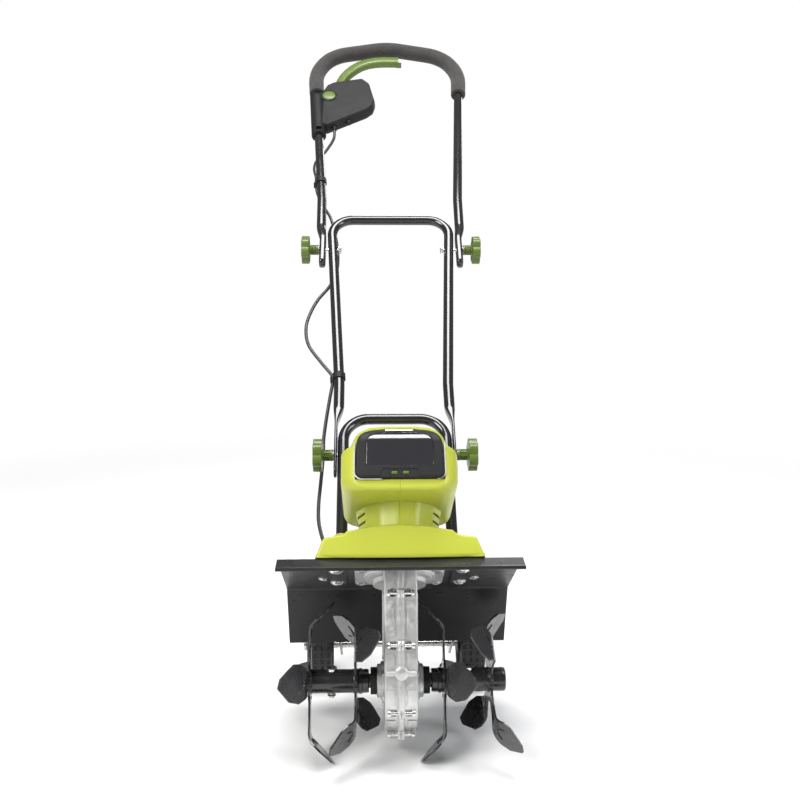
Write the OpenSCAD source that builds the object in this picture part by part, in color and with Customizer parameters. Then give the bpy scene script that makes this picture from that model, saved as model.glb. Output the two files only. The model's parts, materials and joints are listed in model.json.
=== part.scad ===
/* [Handle] */
// Outer diameter of every handle tube
tube_d = 19; // [16:1:22]
// Wall thickness of the tubes
tube_wall = 1.2; // [1:0.1:2]
// Slope of the handle above the horizontal, in degrees
handle_slope = 48; // [44:1:52]
// Distance of each lower tube leg from the middle plane
lower_half = 88; // [87:0.5:89]
// Outer diameter of the foam grip
grip_d = 34; // [28:1:38]
// Diameter of the star knobs
knob_d = 56; // [48:1:58]
// Diameter of the switch cable
cable_d = 6.4; // [5:0.2:7]

/* [Guard and housing] */
// Width of the guard
guard_w = 345; // [330:1:370]
// Thickness of the guard sheet
sheet = 2; // [1.5:0.5:2.5]
// Lean of the motor and housing from the vertical, in degrees
head_lean = 33; // [31:1:35]
// Radius of the motor neck
neck_r = 60; // [58:1:61]
// Wall thickness of the plastic shells
wall = 3; // [2.5:0.5:3.5]

/* [Gear case and tines] */
// Width of the gear case
case_w = 47; // [45:1:50]
// Lean of the gear case from the vertical, in degrees
leg_lean = 8; // [6:1:10]
// Diameter of the tine shaft
shaft_d = 20; // [18:1:21]
// Radius from the shaft to the bend of each tine
bend_r = 76; // [74:1:78]
// Length of a tine blade past its bend
blade_l = 50; // [44:1:52]
// Thickness of the tine plates
plate_t = 3; // [2.5:0.5:3.5]
// Diameter of the wheels
wheel_d = 125; // [115:1:130]
// Width of the wheels
wheel_w = 44; // [36:1:46]

/* [Hidden] */

$fn = 48;
tube_r = tube_d / 2;
running = 0.05;
gap = 0.3;

// The tine shaft runs along X through this point of the row frame
shaft_y = -466.8;
shaft_z = 106.48;

// Flange centre on the guard plate, and the lower knob axis, both from the tine shaft
flange_at = [0, 32, 154.5];
knob_at = [0, 255, 284];

// Stations along the handle, measured up its slope from the lower knob axis
lower_end = -196;
lower_top = 73;
flat_from = -30;
flat_to = 66;
taper_to = 100;
bend_at = 146;
upper_knob = 479;
middle_top = 563;
upper_end = 447;
upper_taper = 545;
upper_kink = 624;
grip_end = 975;
corner_z = 1055;
shoulder_z = 1120;
grip_peak = 1148;

// Distances of the tube legs from the middle plane
middle_low = 97;
middle_high = 120;
upper_low = 140.5;
upper_mid = 141.5;
upper_grip = 168;
peak_half = 14;
shoulder_half = 130;
lower_flat_t = 6;
upper_flat_t = 13;

leg_top = 185;
leg_top_half = 42;
case_r = 68;
flange_t = 8;
cross_z = 70;
gear_module = 2;
output_teeth = 56;
pinion_teeth = 14;
wheel_teeth = 21;
worm_r = 6.5;
hub_r = 23.5;
tine_hub_r = 16.5;
hub_in = 45;
hub_out = 152;
shaft_half = 138;
socket_r = 12;
pin_x = 99;
pin_r = 4;
inner_x = 64;
outer_x = 130;
wheel_y = 245;
wheel_in = 106;
axle_r = 6;
wheel_z = wheel_d / 2 - shaft_z;

box_front = -110;
box_back = 62;
box_low = 84;
box_top = 184;
lid_low = 100;
lid_top = 178;
lid_half = 63;

silver = [0.72, 0.73, 0.74];
lime = [0.72, 0.84, 0.20];
leaf = [0.45, 0.66, 0.22];
dark = [0.10, 0.10, 0.11];

// Frames: the machine, the leaning head, the gear case and the handle
module machine() { translate([0, shaft_y, shaft_z]) children(); }
module head() { machine() translate(flange_at) rotate([-head_lean, 0, 0]) children(); }
module leg() { machine() rotate([-leg_lean, 0, 0]) children(); }
module handle() { machine() translate(knob_at) rotate([handle_slope - 90, 0, 0]) children(); }
// A child drawn in the XY plane, with its thickness, turned so that its plane is YZ
module side_on(x, thick) { translate([x, 0, 0]) rotate([90, 0, 90]) linear_extrude(thick) children(); }

module rod_x(x0, x1, r) { translate([x0, 0, 0]) rotate([0, 90, 0]) cylinder(h = x1 - x0, r = r); }
module block(low, high) { translate(low) cube(high - low); }
function unit(v) = v / norm(v);
function turn_of(a, b) = atan2(a.x * b.y - a.y * b.x, a * b);

// A straight rod between two points
module rod(a, b, r) {
    d = b - a;
    translate(a) rotate([0, acos(d.z / norm(d)), atan2(d.y, d.x)]) cylinder(h = norm(d), r = r);
}

// Stations [x, z, way x, way z] along a line in the XZ plane with round corners; path holds [x, z, corner radius]
arc_steps = 6;
function rotated(v, a) = [v.x * cos(a) - v.y * sin(a), v.x * sin(a) + v.y * cos(a)];
function stations(path) =
    let (n = len(path),
        way = [for (i = [0 : n - 2]) unit([path[i + 1].x - path[i].x, path[i + 1].y - path[i].y])])
    concat([[path[0].x, path[0].y, way[0].x, way[0].y]],
        [for (i = [1 : n - 2])
            let (bend = turn_of(way[i - 1], way[i]), left = bend > 0 ? 1 : -1,
                start = [path[i].x, path[i].y] - way[i - 1] * path[i].z * tan(abs(bend) / 2),
                out = path[i].z * left * [-way[i - 1].y, way[i - 1].x], steps = abs(bend) < 12 ? 2 : arc_steps)
            each [for (k = [0 : steps]) let (a = bend * k / steps, p = start + out - rotated(out, a),
                d = rotated(way[i - 1], a)) [p.x, p.y, d.x, d.y]]],
        [[path[n - 1].x, path[n - 1].y, way[n - 2].x, way[n - 2].y]]);

// A round tube bent along such a line, with an inner radius of bore
tube_sides = 20;
module bent_tube(path, r, bore) {
    s = stations(path);
    n = len(s);
    m = tube_sides;
    points = [for (wall_r = [r, bore], q = s, k = [0 : m - 1]) let (a = 360 * k / m)
        [q[0] - wall_r * cos(a) * q[3], wall_r * sin(a), q[1] + wall_r * cos(a) * q[2]]];
    inner = n * m;
    walls = [for (i = [0 : n - 2], k = [0 : m - 1]) let (j = (k + 1) % m)
        each [[i * m + k, i * m + j, (i + 1) * m + j, (i + 1) * m + k],
            [inner + (i + 1) * m + k, inner + (i + 1) * m + j, inner + i * m + j, inner + i * m + k]]];
    ends = [for (k = [0 : m - 1]) let (j = (k + 1) % m, e = (n - 1) * m)
        each [[j, k, inner + k, inner + j], [e + k, e + j, inner + e + j, inner + e + k]]];
    polyhedron(points, concat(walls, ends), convexity = 10);
}

// Guard: one folded sheet with a front lip, a plate and a rear panel, all in the machine frame
guard_line = [[-48, 183], [-21, 189], [115, 100.5], [148, -0.5]];
function normal_at(p, i) =
    let (a = unit(p[min(i + 1, len(p) - 1)] - p[min(i, len(p) - 2)]), b = unit(p[max(i, 1)] - p[max(i - 1, 0)]),
        m = unit(a + b)) [-m.y, m.x] / (m * a);
function strip(p, t) = concat(p, [for (i = [len(p) - 1 : -1 : 0]) p[i] - t * normal_at(p, i)]);

// Screws through the guard plate: across, back, size
screw_spots = [for (side = [-1, 1]) each [[side * 92, -14, 6], [side * 92, 50, 6], [side * 112, 38, 4],
    [side * 56, -20, 3.5], [side * 56, 45, 3.5]]];

module guard() {
    color(dark) difference() {
        machine() side_on(-guard_w / 2, guard_w) polygon(strip(guard_line, sheet));
        head() translate([0, 0, -20]) cylinder(h = 30, r = 40);
        head() for (s = screw_spots) translate([s.x, s.y, -20]) cylinder(h = 30, r = s.z / 2 + 1.6);
    }
}

// The screws: heads under the sheet, shanks up into the base cover's bosses
module guard_screws() {
    color(silver) head() for (s = screw_spots) translate([s.x, s.y, 0]) {
        translate([0, 0, -sheet - 0.5 - s.z]) cylinder(h = s.z, r = s.z * 1.1 + 2);
        translate([0, 0, -sheet - 0.6]) cylinder(h = 12, r = s.z / 2 + 1);
    }
}

module case_outline(inset) {
    circle(case_r - inset);
    polygon([[-66 + inset, 12], [66 - inset, 12], [leg_top_half - inset, leg_top],
        [-leg_top_half + inset, leg_top]]);
}

bolt_spots = [[-50, 136], [52, 96], [-60, 65], [68, 38], [-64, -27], [62, -44], [-38, -64], [0, -76]];

// One half of the gear case, from the seam out to +X
module case_half() {
    difference() {
        union() {
            side_on(0, case_w / 2) case_outline(0);
            side_on(0, 4) for (b = bolt_spots) translate(b) circle(9);
            for (b = bolt_spots) translate([0, b.x, b.y]) rod_x(0, 15, 7);
            rod_x(0, case_w / 2 + 10, hub_r);
            for (z = [18, 62, 106]) block([case_w / 2 - 0.5, -30, z], [case_w / 2 + 1.5, 30, z + 4]);
        }
        side_on(-1, case_w / 2 - 4) case_outline(5);
        rod_x(-1, case_w / 2 + 11, shaft_d / 2 + 1);
        rod_x(-1, case_w / 2 + 6, 21);
        translate([0, 0, cross_z]) rod_x(-1, case_w / 2 - 3, 5.05);
        for (b = bolt_spots) translate([0, b.x, b.y]) {
            rod_x(-1, 16, 2.6);
            rod_x(15, 40, 5.4);
        }
    }
}

module case_top_cut() {
    difference() {
        children();
        head() block([-80, -120, -flange_t - 0.05], [80, 160, 120]);
        head() translate([0, 0, -40]) cylinder(h = 60, r = 12);
    }
}

module gear_case_right() { color(silver) case_top_cut() leg() case_half(); }
module gear_case_left() { color(silver) case_top_cut() leg() mirror([1, 0, 0]) case_half(); }

module case_bolts() {
    color(silver) leg() for (b = bolt_spots) translate([0, b.x, b.y]) {
        rod_x(-17, 19, 2.5);
        rod_x(15, 19.5, 4.5);
        rod_x(-19, -15, 4.6);
    }
}

module motor_flange() {
    color(silver) head() difference() {
        union() {
            block([-65, -52, -flange_t], [65, 52, -sheet - 0.1]);
            difference() {
                translate([0, 0, -16]) cylinder(h = 10, r = 48);
                block([-case_w / 2 - gap, -60, -20], [case_w / 2 + gap, 60, -flange_t]);
            }
            translate([0, 0, -sheet - 0.2]) cylinder(h = 16, r = 36);
        }
        translate([0, 0, -30]) cylinder(h = 60, r = 12);
        for (s = screw_spots) translate([s.x, s.y, -20]) cylinder(h = 30, r = s.z * 1.1 + 3);
    }
}

// Base cover: a low shell on the guard plate, with a raised middle that the neck stands in
cover_line = [[-120, 0.1], [-109, 30], [-80, 34], [-76, 39], [-40, 45], [0, 47], [40, 45], [76, 39],
    [80, 34], [109, 30], [120, 0.1]];
cover_front = -66;
cover_back = 96;

module along_y(y0, y1) {
    translate([0, y1, 0]) rotate([90, 0, 0]) linear_extrude(y1 - y0) children();
}

module base_cover() {
    color(lime) head() difference() {
        union() {
            difference() {
                along_y(cover_front, cover_back) polygon(cover_line);
                along_y(cover_front + wall, cover_back - wall) polygon([for (p = cover_line)
                    [p.x - sign(p.x) * wall * 1.15, p.y - wall]]);
            }
            for (s = screw_spots) if (s.z >= 4) translate([s.x, s.y, 0.1]) cylinder(h = 29, r = s.z / 2 + 4);
        }
        translate([0, 0, 20]) cylinder(h = 40, r = neck_r + 0.3);
        for (s = screw_spots) translate([s.x, s.y, -1]) cylinder(h = 12, r = s.z / 2 + 1.1);
        for (side = [-1, 1]) head_from_handle() rod([side * lower_half, 0, lower_end - 30],
            [side * lower_half, 0, 0], tube_r + 0.4);
        cable_entry_cut();
    }
}

// The handle frame as seen from inside the head frame
module head_from_handle() {
    rotate([head_lean, 0, 0]) translate(knob_at - flange_at) rotate([handle_slope - 90, 0, 0]) children();
}

gland_at = [-108, 62];
module cable_entry_cut() { translate([gland_at.x, gland_at.y, 20]) cylinder(h = 30, r = 6.1); }

// Motor housing: neck and battery box, in two halves that meet at the middle plane
box_side = [[-62, box_low], [-76, box_low + 4], [-84, box_low + 16], [-84, 150], [-72, 156], [-64, 175],
    [-48, box_top - 2], [-24, box_top]];
box_line = [for (side = [-1, 1], q = side < 0 ? box_side : [for (i = [len(box_side) - 1 : -1 : 0]) box_side[i]])
    [-side * q.x, q.y]];

function inset_line(p, t) = [for (q = p) [q.x - sign(q.x) * t, q.y - t * (q.y > 130 ? 1 : -1)]];

module housing() {
    difference() {
        union() {
            translate([0, 0, 0.2]) cylinder(h = box_low + 4, r = neck_r);
            along_y(box_front, box_back) polygon(box_line);
        }
        translate([0, 0, -1]) cylinder(h = box_low + 1, r = neck_r - wall);
        along_y(box_front + 6, box_back - wall) polygon(inset_line(box_line, wall));
        block([-lid_half - 0.6, box_front - 1, lid_low - 0.6], [lid_half + 0.6, box_front + 7, lid_top + 20]);
        translate([0, 0, -1]) cylinder(h = 11, r = 70);
        for (side = [-1, 1], z = [48, 60, 72]) translate([side * 52, -36, z]) rotate([0, 0, side * 35])
            block([-12, -3, 0], [12, 3, 4]);
    }
}

module housing_left() {
    color(lime) head() intersection() {
        housing();
        block([-100, -130, 0], [-0.05, 90, 200]);
    }
}

module housing_right() {
    color(lime) head() intersection() {
        housing();
        block([0.05, -130, 0], [100, 90, 200]);
    }
}

module battery_tray() {
    color(dark) head() difference() {
        block([-70, -98, 93], [70, 50, 97]);
        for (side = [-1, 1]) block([side * 36 - 20.5, -70, 90], [side * 36 + 20.5, 20, 99]);
    }
}

module battery_pack(side) {
    color(dark) head() union() {
        block([side * 36 - 30, -84, 97.1], [side * 36 + 30, 44, 140]);
        block([side * 36 - 20, -60, 90], [side * 36 + 20, 10, 97.1]);
        block([side * 36 - 14, -90, 112], [side * 36 + 14, -84, 124]);
    }
}
module battery_pack_left() { battery_pack(-1); }
module battery_pack_right() { battery_pack(1); }

lid_line = [[-lid_half, lid_low + 6], [-lid_half + 6, lid_low], [lid_half - 6, lid_low], [lid_half, lid_low + 6],
    [lid_half - 2, 158], [48, lid_top - 4], [24, lid_top], [-24, lid_top], [-48, lid_top - 4],
    [-lid_half + 2, 158]];
window_low = 116;
window_high = 168;

module window_line(grow) {
    polygon([[-49 - grow, window_low - grow], [49 + grow, window_low - grow], [47 + grow, 158],
        [30, window_high + grow], [-30, window_high + grow], [-47 - grow, 158]]);
}

module lid_frame() {
    color(dark) head() difference() {
        along_y(box_front - 6, box_front + 2) polygon(lid_line);
        along_y(box_front - 8, box_front + 4) window_line(0);
        along_y(box_front - 8, box_front - 3) window_line(3);
        for (side = [-1, 1]) block([side * 8 - 4.5, box_front - 7, 105], [side * 8 + 4.5, box_front + 3, 110]);
        translate([0, box_front + 3, lid_top - 3]) rod_x(-90, 90, 2.05);
    }
}

module lid_window() {
    color([0.2, 0.2, 0.22, 0.8]) head() along_y(box_front - 7, box_front - 3.05) window_line(2.8);
}

module lid_catches() {
    color(leaf) head() for (side = [-1, 1])
        block([side * 8 - 4.3, box_front - 6.6, 105.2], [side * 8 + 4.3, box_front + 1, 109.8]);
}

module lid_pin() {
    color(silver) head() translate([0, box_front + 3, lid_top - 3]) rod_x(-20, 20, 2);
}

module motor_can() {
    color(silver) head() difference() {
        translate([0, 0, 14.2]) cylinder(h = 58, r = 44);
        translate([0, 0, 17]) cylinder(h = 52, r = 40);
        translate([0, 0, 10]) cylinder(h = 80, r = 4.2);
    }
}

// The rotor with its shaft, and the worm that is cut on the shaft's lower end
module rotor() {
    color([0.55, 0.35, 0.2]) head() {
        translate([0, 0, 22]) cylinder(h = 42, r = 26);
        translate([0, 0, -26]) cylinder(h = 107, r = 4);
        translate([0, 0, -106]) cylinder(h = 80, r = worm_r);
    }
}

module cooling_fan() {
    color(dark) head() difference() {
        union() {
            translate([0, 0, 74.5]) cylinder(h = 6, r = 12);
            for (a = [0 : 30 : 330]) rotate([0, 0, a]) block([6, -0.8, 74], [34, 0.8, 80.5]);
        }
        translate([0, 0, 70]) cylinder(h = 20, r = 4);
    }
}

module control_board() {
    color([0.1, 0.35, 0.2]) head() block([-40, 50, 110], [40, 52, 150]);
}

// Spur gear outline with plain flanks and backlash
function tooth(n, m, k, a0) = let (step = 360 / n, a = a0 + k * step, tip = m * (n / 2 + 0.95), root = m * (n / 2 - 1.2))
    [for (q = [[root, -0.30], [tip, -0.13], [tip, 0.13], [root, 0.30]])
        q.x * [cos(a + q.y * step), sin(a + q.y * step)]];
module gear_shape(n, m, a0) { polygon([for (k = [0 : n - 1]) each tooth(n, m, k, a0)]); }

module output_gear() {
    color(silver) leg() difference() {
        side_on(-6, 12) gear_shape(output_teeth, gear_module, 90);
        rod_x(-10, 10, shaft_d / 2);
    }
}

module cross_shaft() {
    color(silver) leg() translate([0, 0, cross_z]) union() {
        side_on(-7, 14) gear_shape(pinion_teeth, gear_module, -90 + 180 / pinion_teeth);
        rod_x(-20, 20, 5);
    }
}

worm_wheel_m = 1.8;
module worm_wheel() {
    color([0.75, 0.6, 0.3]) leg() translate([0, 0, cross_z]) difference() {
        side_on(7.1, 9) gear_shape(wheel_teeth, worm_wheel_m, 0);
        rod_x(0, 30, 5);
    }
}

module tine_shaft() {
    color([0.3, 0.3, 0.32]) machine() difference() {
        rod_x(-shaft_half, shaft_half, shaft_d / 2);
        for (side = [-1, 1]) translate([side * pin_x, 0, -20]) cylinder(h = 40, r = pin_r + 0.05);
    }
}

// Clevis pins: a domed head on top, a shank right through hub and shaft
module clevis_pins() {
    color(silver) machine() for (side = [-1, 1]) translate([side * pin_x, 0, 0]) {
        translate([0, 0, -24]) cylinder(h = 41, r = pin_r);
        translate([0, 0, 16.8]) cylinder(h = 4, r = 8);
    }
}

module spring_clips() {
    color(silver) machine() for (side = [-1, 1]) translate([side * pin_x, 0, -20.5])
        rotate_extrude() translate([pin_r + 1.2, 0]) circle(0.9);
}

module tine_hub(side) {
    color(dark) machine() difference() {
        rod_x(min(side * hub_in, side * hub_out), max(side * hub_in, side * hub_out), tine_hub_r);
        rod_x(min(side * hub_in, side * hub_out) - 1, max(side * hub_in, side * hub_out) + 1, shaft_d / 2 + 0.1);
        translate([side * pin_x, 0, -30]) cylinder(h = 60, r = pin_r + 0.1);
        translate([side > 0 ? shaft_half : -hub_out - 1, 0, 0]) rod_x(0, hub_out - shaft_half + 1, socket_r);
    }
}
module tine_hub_left() { tine_hub(-1); }
module tine_hub_right() { tine_hub(1); }

arm_root = 13;
arm_bend = 15;
// Blade outline past the bend: across, along
blade_line = [[-arm_bend, -1], [-25, 12], [-22, blade_l * 0.62], [-6, blade_l], [10, blade_l * 0.86],
    [24, blade_l * 0.5], [25, 14], [arm_bend, -1]];

// One arm from the hub out to its bent blade, drawn up +Z with its plate in the YZ plane
module tine_arm(lean) {
    side_on(-plate_t / 2, plate_t)
        polygon([[-arm_root, 18], [arm_root, 18], [10, 50], [arm_bend, bend_r], [-arm_bend, bend_r], [-10, 50]]);
    translate([0, 0, bend_r]) rotate([0, lean, 0]) side_on(-plate_t / 2, plate_t) polygon(blade_line);
}

// A stamped plate with four blades; flips lists which way each one bends, as 1 or -1
module tine_plate(x, first, flips) {
    color(dark) machine() translate([x, 0, 0]) difference() {
        union() {
            rod_x(-plate_t / 2, plate_t / 2, 30);
            for (k = [0 : 3]) rotate([90 - first - 90 * k, 0, 0]) tine_arm(45 * flips[k]);
        }
        rod_x(-10, 10, tine_hub_r + 0.05);
        for (k = [0 : 3]) rotate([45 - first - 90 * k, 0, 0]) block([-5, -4, 26], [5, 4, 34]);
    }
}

steep = 57;
shallow = 22;
module tine_plate_left_outer() { tine_plate(-outer_x, shallow, [-1, 1, -1, 1]); }
module tine_plate_left_inner() { tine_plate(-inner_x, steep, [1, -1, 1, -1]); }
module tine_plate_right_outer() { tine_plate(outer_x, steep, [-1, 1, -1, 1]); }
module tine_plate_right_inner() { tine_plate(inner_x, shallow, [1, -1, 1, -1]); }

module bearings() {
    color(silver) machine() for (side = [-1, 1]) translate([side * (case_w / 2 - 0.1), 0, 0]) difference() {
        rod_x(-6, 6, 20.95);
        rod_x(-7, 7, shaft_d / 2 + 0.02);
    }
}

module shaft_seals() {
    color(dark) machine() for (side = [-1, 1]) translate([side * (case_w / 2 + 14.6), 0, 0]) difference() {
        rod_x(-4.5, 4.5, 19);
        rod_x(-7, 7, shaft_d / 2 + 0.02);
    }
}

// Wheel bracket: two flat arms from the guard's rear panel back to the axle, with a cross strap
bracket_x = 92;
module wheel_bracket() {
    color(dark) difference() {
        union() {
            machine() for (side = [-1, 1]) side_on(side * bracket_x - 2, 4)
                polygon([[118, 96], [150, 80], [wheel_y + 14, wheel_z + 8], [wheel_y + 12, wheel_z - 14],
                    [wheel_y - 12, wheel_z - 14], [151, 2], [149, -0.5]]);
            machine() side_on(-bracket_x, 2 * bracket_x) polygon([[118, 96], [150, 80], [149, 76], [119, 91]]);
        }
        machine() translate([0, wheel_y, wheel_z]) rod_x(-120, 120, axle_r + 0.05);
    }
}

module wheel_axle() {
    color(silver) machine() translate([0, wheel_y, wheel_z]) union() {
        rod_x(-wheel_in - wheel_w - 4, wheel_in + wheel_w + 4, axle_r);
        for (side = [-1, 1]) translate([side * (wheel_in + wheel_w + 5), 0, 0]) rod_x(-2.5, 2.5, 10);
    }
}

module wheel(side) {
    color(dark) machine() translate([side * (wheel_in + wheel_w / 2), wheel_y, wheel_z]) difference() {
        rotate([0, 90, 0]) rotate_extrude($fn = 72) polygon([[axle_r + 0.05, -wheel_w / 2], [16, -wheel_w / 2],
            [18, -6], [46, -6], [48, -wheel_w / 2 + 2], [wheel_d / 2 - 3, -wheel_w / 2 + 2],
            [wheel_d / 2, -wheel_w / 2 + 6], [wheel_d / 2, wheel_w / 2 - 6], [wheel_d / 2 - 3, wheel_w / 2 - 2],
            [48, wheel_w / 2 - 2], [46, 6], [18, 6], [16, wheel_w / 2], [axle_r + 0.05, wheel_w / 2]]);
    }
}
module wheel_left() { wheel(-1); }
module wheel_right() { wheel(1); }

// Handle tubes
lower_path = [[-lower_half, lower_end, 0], [-lower_half, lower_top, 44], [lower_half, lower_top, 44],
    [lower_half, lower_end, 0]];
middle_path = [[-middle_low, taper_to, 0], [-middle_low, bend_at, 120], [-middle_high, middle_top, 42],
    [middle_high, middle_top, 42], [middle_low, bend_at, 120], [middle_low, taper_to, 0]];
grip_bend = [[-upper_grip, corner_z, 120], [-shoulder_half, shoulder_z, 84], [-peak_half, grip_peak, 110],
    [peak_half, grip_peak, 110], [shoulder_half, shoulder_z, 84], [upper_grip, corner_z, 120]];
upper_path = concat([[-upper_low, upper_taper, 0], [-upper_mid, upper_kink, 200]], grip_bend,
    [[upper_mid, upper_kink, 200], [upper_low, upper_taper, 0]]);
leg_slope = (upper_grip - upper_mid) / (corner_z - upper_kink);
function leg_x(z) = -(upper_mid + (z - upper_kink) * leg_slope);
knob_bore = 3.25;

module lower_tube() {
    color(dark) handle() difference() {
        bent_tube(lower_path, tube_r, tube_r - tube_wall);
        rod_x(-120, 120, knob_bore);
    }
}

// The flattened end of a leg, lying against the leg inside it
module flat_end(side, inner_face, thick, leg_x, from, to, round_from) {
    x0 = min(side * inner_face, side * (inner_face + thick));
    block([x0, -12, from], [x0 + thick, 12, to]);
    translate([0, 0, from]) rod_x(x0, x0 + thick, 12);
    hull() {
        block([x0, -12, to - 1], [x0 + thick, 12, to]);
        translate([side * leg_x, 0, round_from]) cylinder(h = 1, r = tube_r, $fn = 32);
    }
}

module middle_tube() {
    color(dark) handle() difference() {
        union() {
            bent_tube(middle_path, tube_r, tube_r - tube_wall);
            for (side = [-1, 1]) flat_end(side, lower_half + tube_r + gap, lower_flat_t, middle_low, flat_from,
                flat_to, taper_to);
        }
        rod_x(-120, 120, knob_bore + running);
        translate([0, 0, upper_knob]) rod_x(-150, 150, knob_bore);
    }
}

upper_inner = 129.5;
// Distance of a middle tube leg from the middle plane at a station above its bend
function middle_x(z) = middle_low + (z - bend_at) * (middle_high - middle_low) / (middle_top - bend_at);
module upper_tube() {
    color(dark) handle() difference() {
        union() {
            bent_tube(upper_path, tube_r, tube_r - tube_wall);
            for (side = [-1, 1]) flat_end(side, upper_inner, upper_flat_t, upper_low, upper_end, upper_knob + 40,
                upper_taper);
        }
        translate([0, 0, upper_knob]) rod_x(-150, 150, knob_bore + running);
    }
}

grip_path = concat([[leg_x(grip_end), grip_end, 0]], grip_bend, [[-leg_x(grip_end), grip_end, 0]]);
module foam_grip() {
    color(dark) handle() bent_tube(grip_path, grip_d / 2, tube_r + 0.15);
}

// Knobs, bolts and washers
stem_l = 18;
plate_h = 15;
stem_r = 8.5;
bolt_gap = 1.5;
module knob(side, face, z) {
    color(leaf) handle() translate([side * (face + bolt_gap), 0, z]) rotate([0, side * 90, 0]) difference() {
        union() {
            cylinder(h = stem_l, r = stem_r);
            translate([0, 0, stem_l - 1]) cylinder(h = plate_h + 1, r = knob_d / 2 - 7);
            for (a = [0 : 60 : 300]) rotate([0, 0, a]) translate([knob_d / 2 - 8, 0, stem_l])
                cylinder(h = plate_h, r = 8);
        }
        translate([0, 0, -1]) cylinder(h = 24, r = 3.25 + running);
    }
}
lower_face = lower_half + tube_r + gap + lower_flat_t;
upper_face = upper_inner + upper_flat_t;
module knob_lower_left() { knob(-1, lower_face, 0); }
module knob_lower_right() { knob(1, lower_face, 0); }
module knob_upper_left() { knob(-1, upper_face, upper_knob); }
module knob_upper_right() { knob(1, upper_face, upper_knob); }

// One carriage bolt on each side, its head inside the inner tube's leg, with a washer under the knob
module knob_bolts(inner, face, z) {
    color(silver) handle() translate([0, 0, z]) for (side = [-1, 1]) mirror([side < 0 ? 1 : 0, 0, 0]) {
        rod_x(inner - 3, face + 22, knob_bore - 0.05);
        rod_x(inner - 6, inner - 0.2, 8);
        rod_x(face + 0.2, face + bolt_gap - 0.2, 9);
    }
}
module lower_bolts() { knob_bolts(lower_half - tube_r, lower_face, 0); }
module upper_bolts() { knob_bolts(middle_x(upper_knob) - tube_r - 1.2, upper_face, upper_knob); }

// Switch box on the left leg of the upper tube, split in the plane of the handle
switch_line = [[-184, 900], [-176, 838], [-166, 824], [-142, 824], [-134, 846], [-46, 902], [-32, 918], [-28, 938],
    [-41, 1000], [-58, 1020], [-126, 1004], [-140, 994], [-145.5, 974], [-184, 970]];
switch_t = 26;
button_at = [-134, 951];
button_r = 15.5;

module switch_body() {
    difference() {
        translate([0, switch_t / 2, 0]) rotate([90, 0, 0]) linear_extrude(switch_t) polygon(switch_line);
        rod([leg_x(800), 0, 800], [leg_x(1060), 0, 1060], tube_r + 0.15);
        translate([button_at.x, 0, button_at.y]) rotate([90, 0, 0]) cylinder(h = 20, r = button_r + 0.4);
        block([-129, -10, 992], [-60, 10, 1030]);
        rod([-120, 0, 845], [-120, 0, 880], 5);
    }
}
module switch_box_left() {
    color(dark) handle() intersection() { switch_body(); block([-200, 0.05, 800], [0, 40, 1100]); }
}
module switch_box_right() {
    color(dark) handle() intersection() { switch_body(); block([-200, -40, 800], [0, -0.05, 1100]); }
}

module safety_button() {
    color(leaf) handle() translate([button_at.x, 0, button_at.y]) rotate([90, 0, 0])
        translate([0, 0, 11]) cylinder(h = 7, r = button_r);
}

// Bail lever: pivots in the switch box and runs along the inner side of the grip
lever_pivot = [-110, 1002];
lever_line = [[-120, 996], [-102, 995], [-98, 1016], [-88, 1044], [-72, 1068], [-50, 1084], [-30, 1088], [22, 1088],
    [28, 1082], [34, 1084], [26, 1108], [-34, 1108], [-62, 1102], [-88, 1084], [-108, 1056], [-120, 1020]];
module bail_lever() {
    color(leaf) handle() difference() {
        translate([0, 9, 0]) rotate([90, 0, 0]) linear_extrude(18) polygon(lever_line);
        translate([lever_pivot.x, 20, lever_pivot.y]) rotate([90, 0, 0]) cylinder(h = 40, r = 2.55);
    }
}
module lever_pin() {
    color(silver) handle() translate([lever_pivot.x, 9.9, lever_pivot.y]) rotate([90, 0, 0]) cylinder(h = 19.8, r = 2.5);
}

// Cable route in the handle frame: across, behind the handle plane, along the slope
upper_route = [[-120, 0, 847], [-122, 6, 824], [-138, 18, 800], [-158, 20, 768], [-162, 14, 735], [-157, 9, 704],
    [-155.9, 9, 684], [-155.1, 9, 672], [-152, 10, 652], [-140, 15, 622], [-124, 18, 590], [-114, 18, 546]];
middle_route = [[-114, 18, 545], [-108, 18, 505], [-106, 18, 470], [-108, 18, 440], [-120, 18, 400], [-142, 14, 360],
    [-156, 10, 320], [-162, 9, 285], [-156, 9, 245], [-132, 9, 205], [-112, 9, 176], [-109.9, 9, 164], [-110, 9, 152],
    [-114, 12, 125], [-120, 25, 88], [-124, 36, 55], [-124, 38, 31]];
lower_route = [[-124, 38, 30], [-125, 39, 0], [-127, 36, -40], [-128, 24, -80], [-126, 8, -120], [-119, -8, -155],
    [-111, -19, -181], [-108, -24, -197]];

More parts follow.
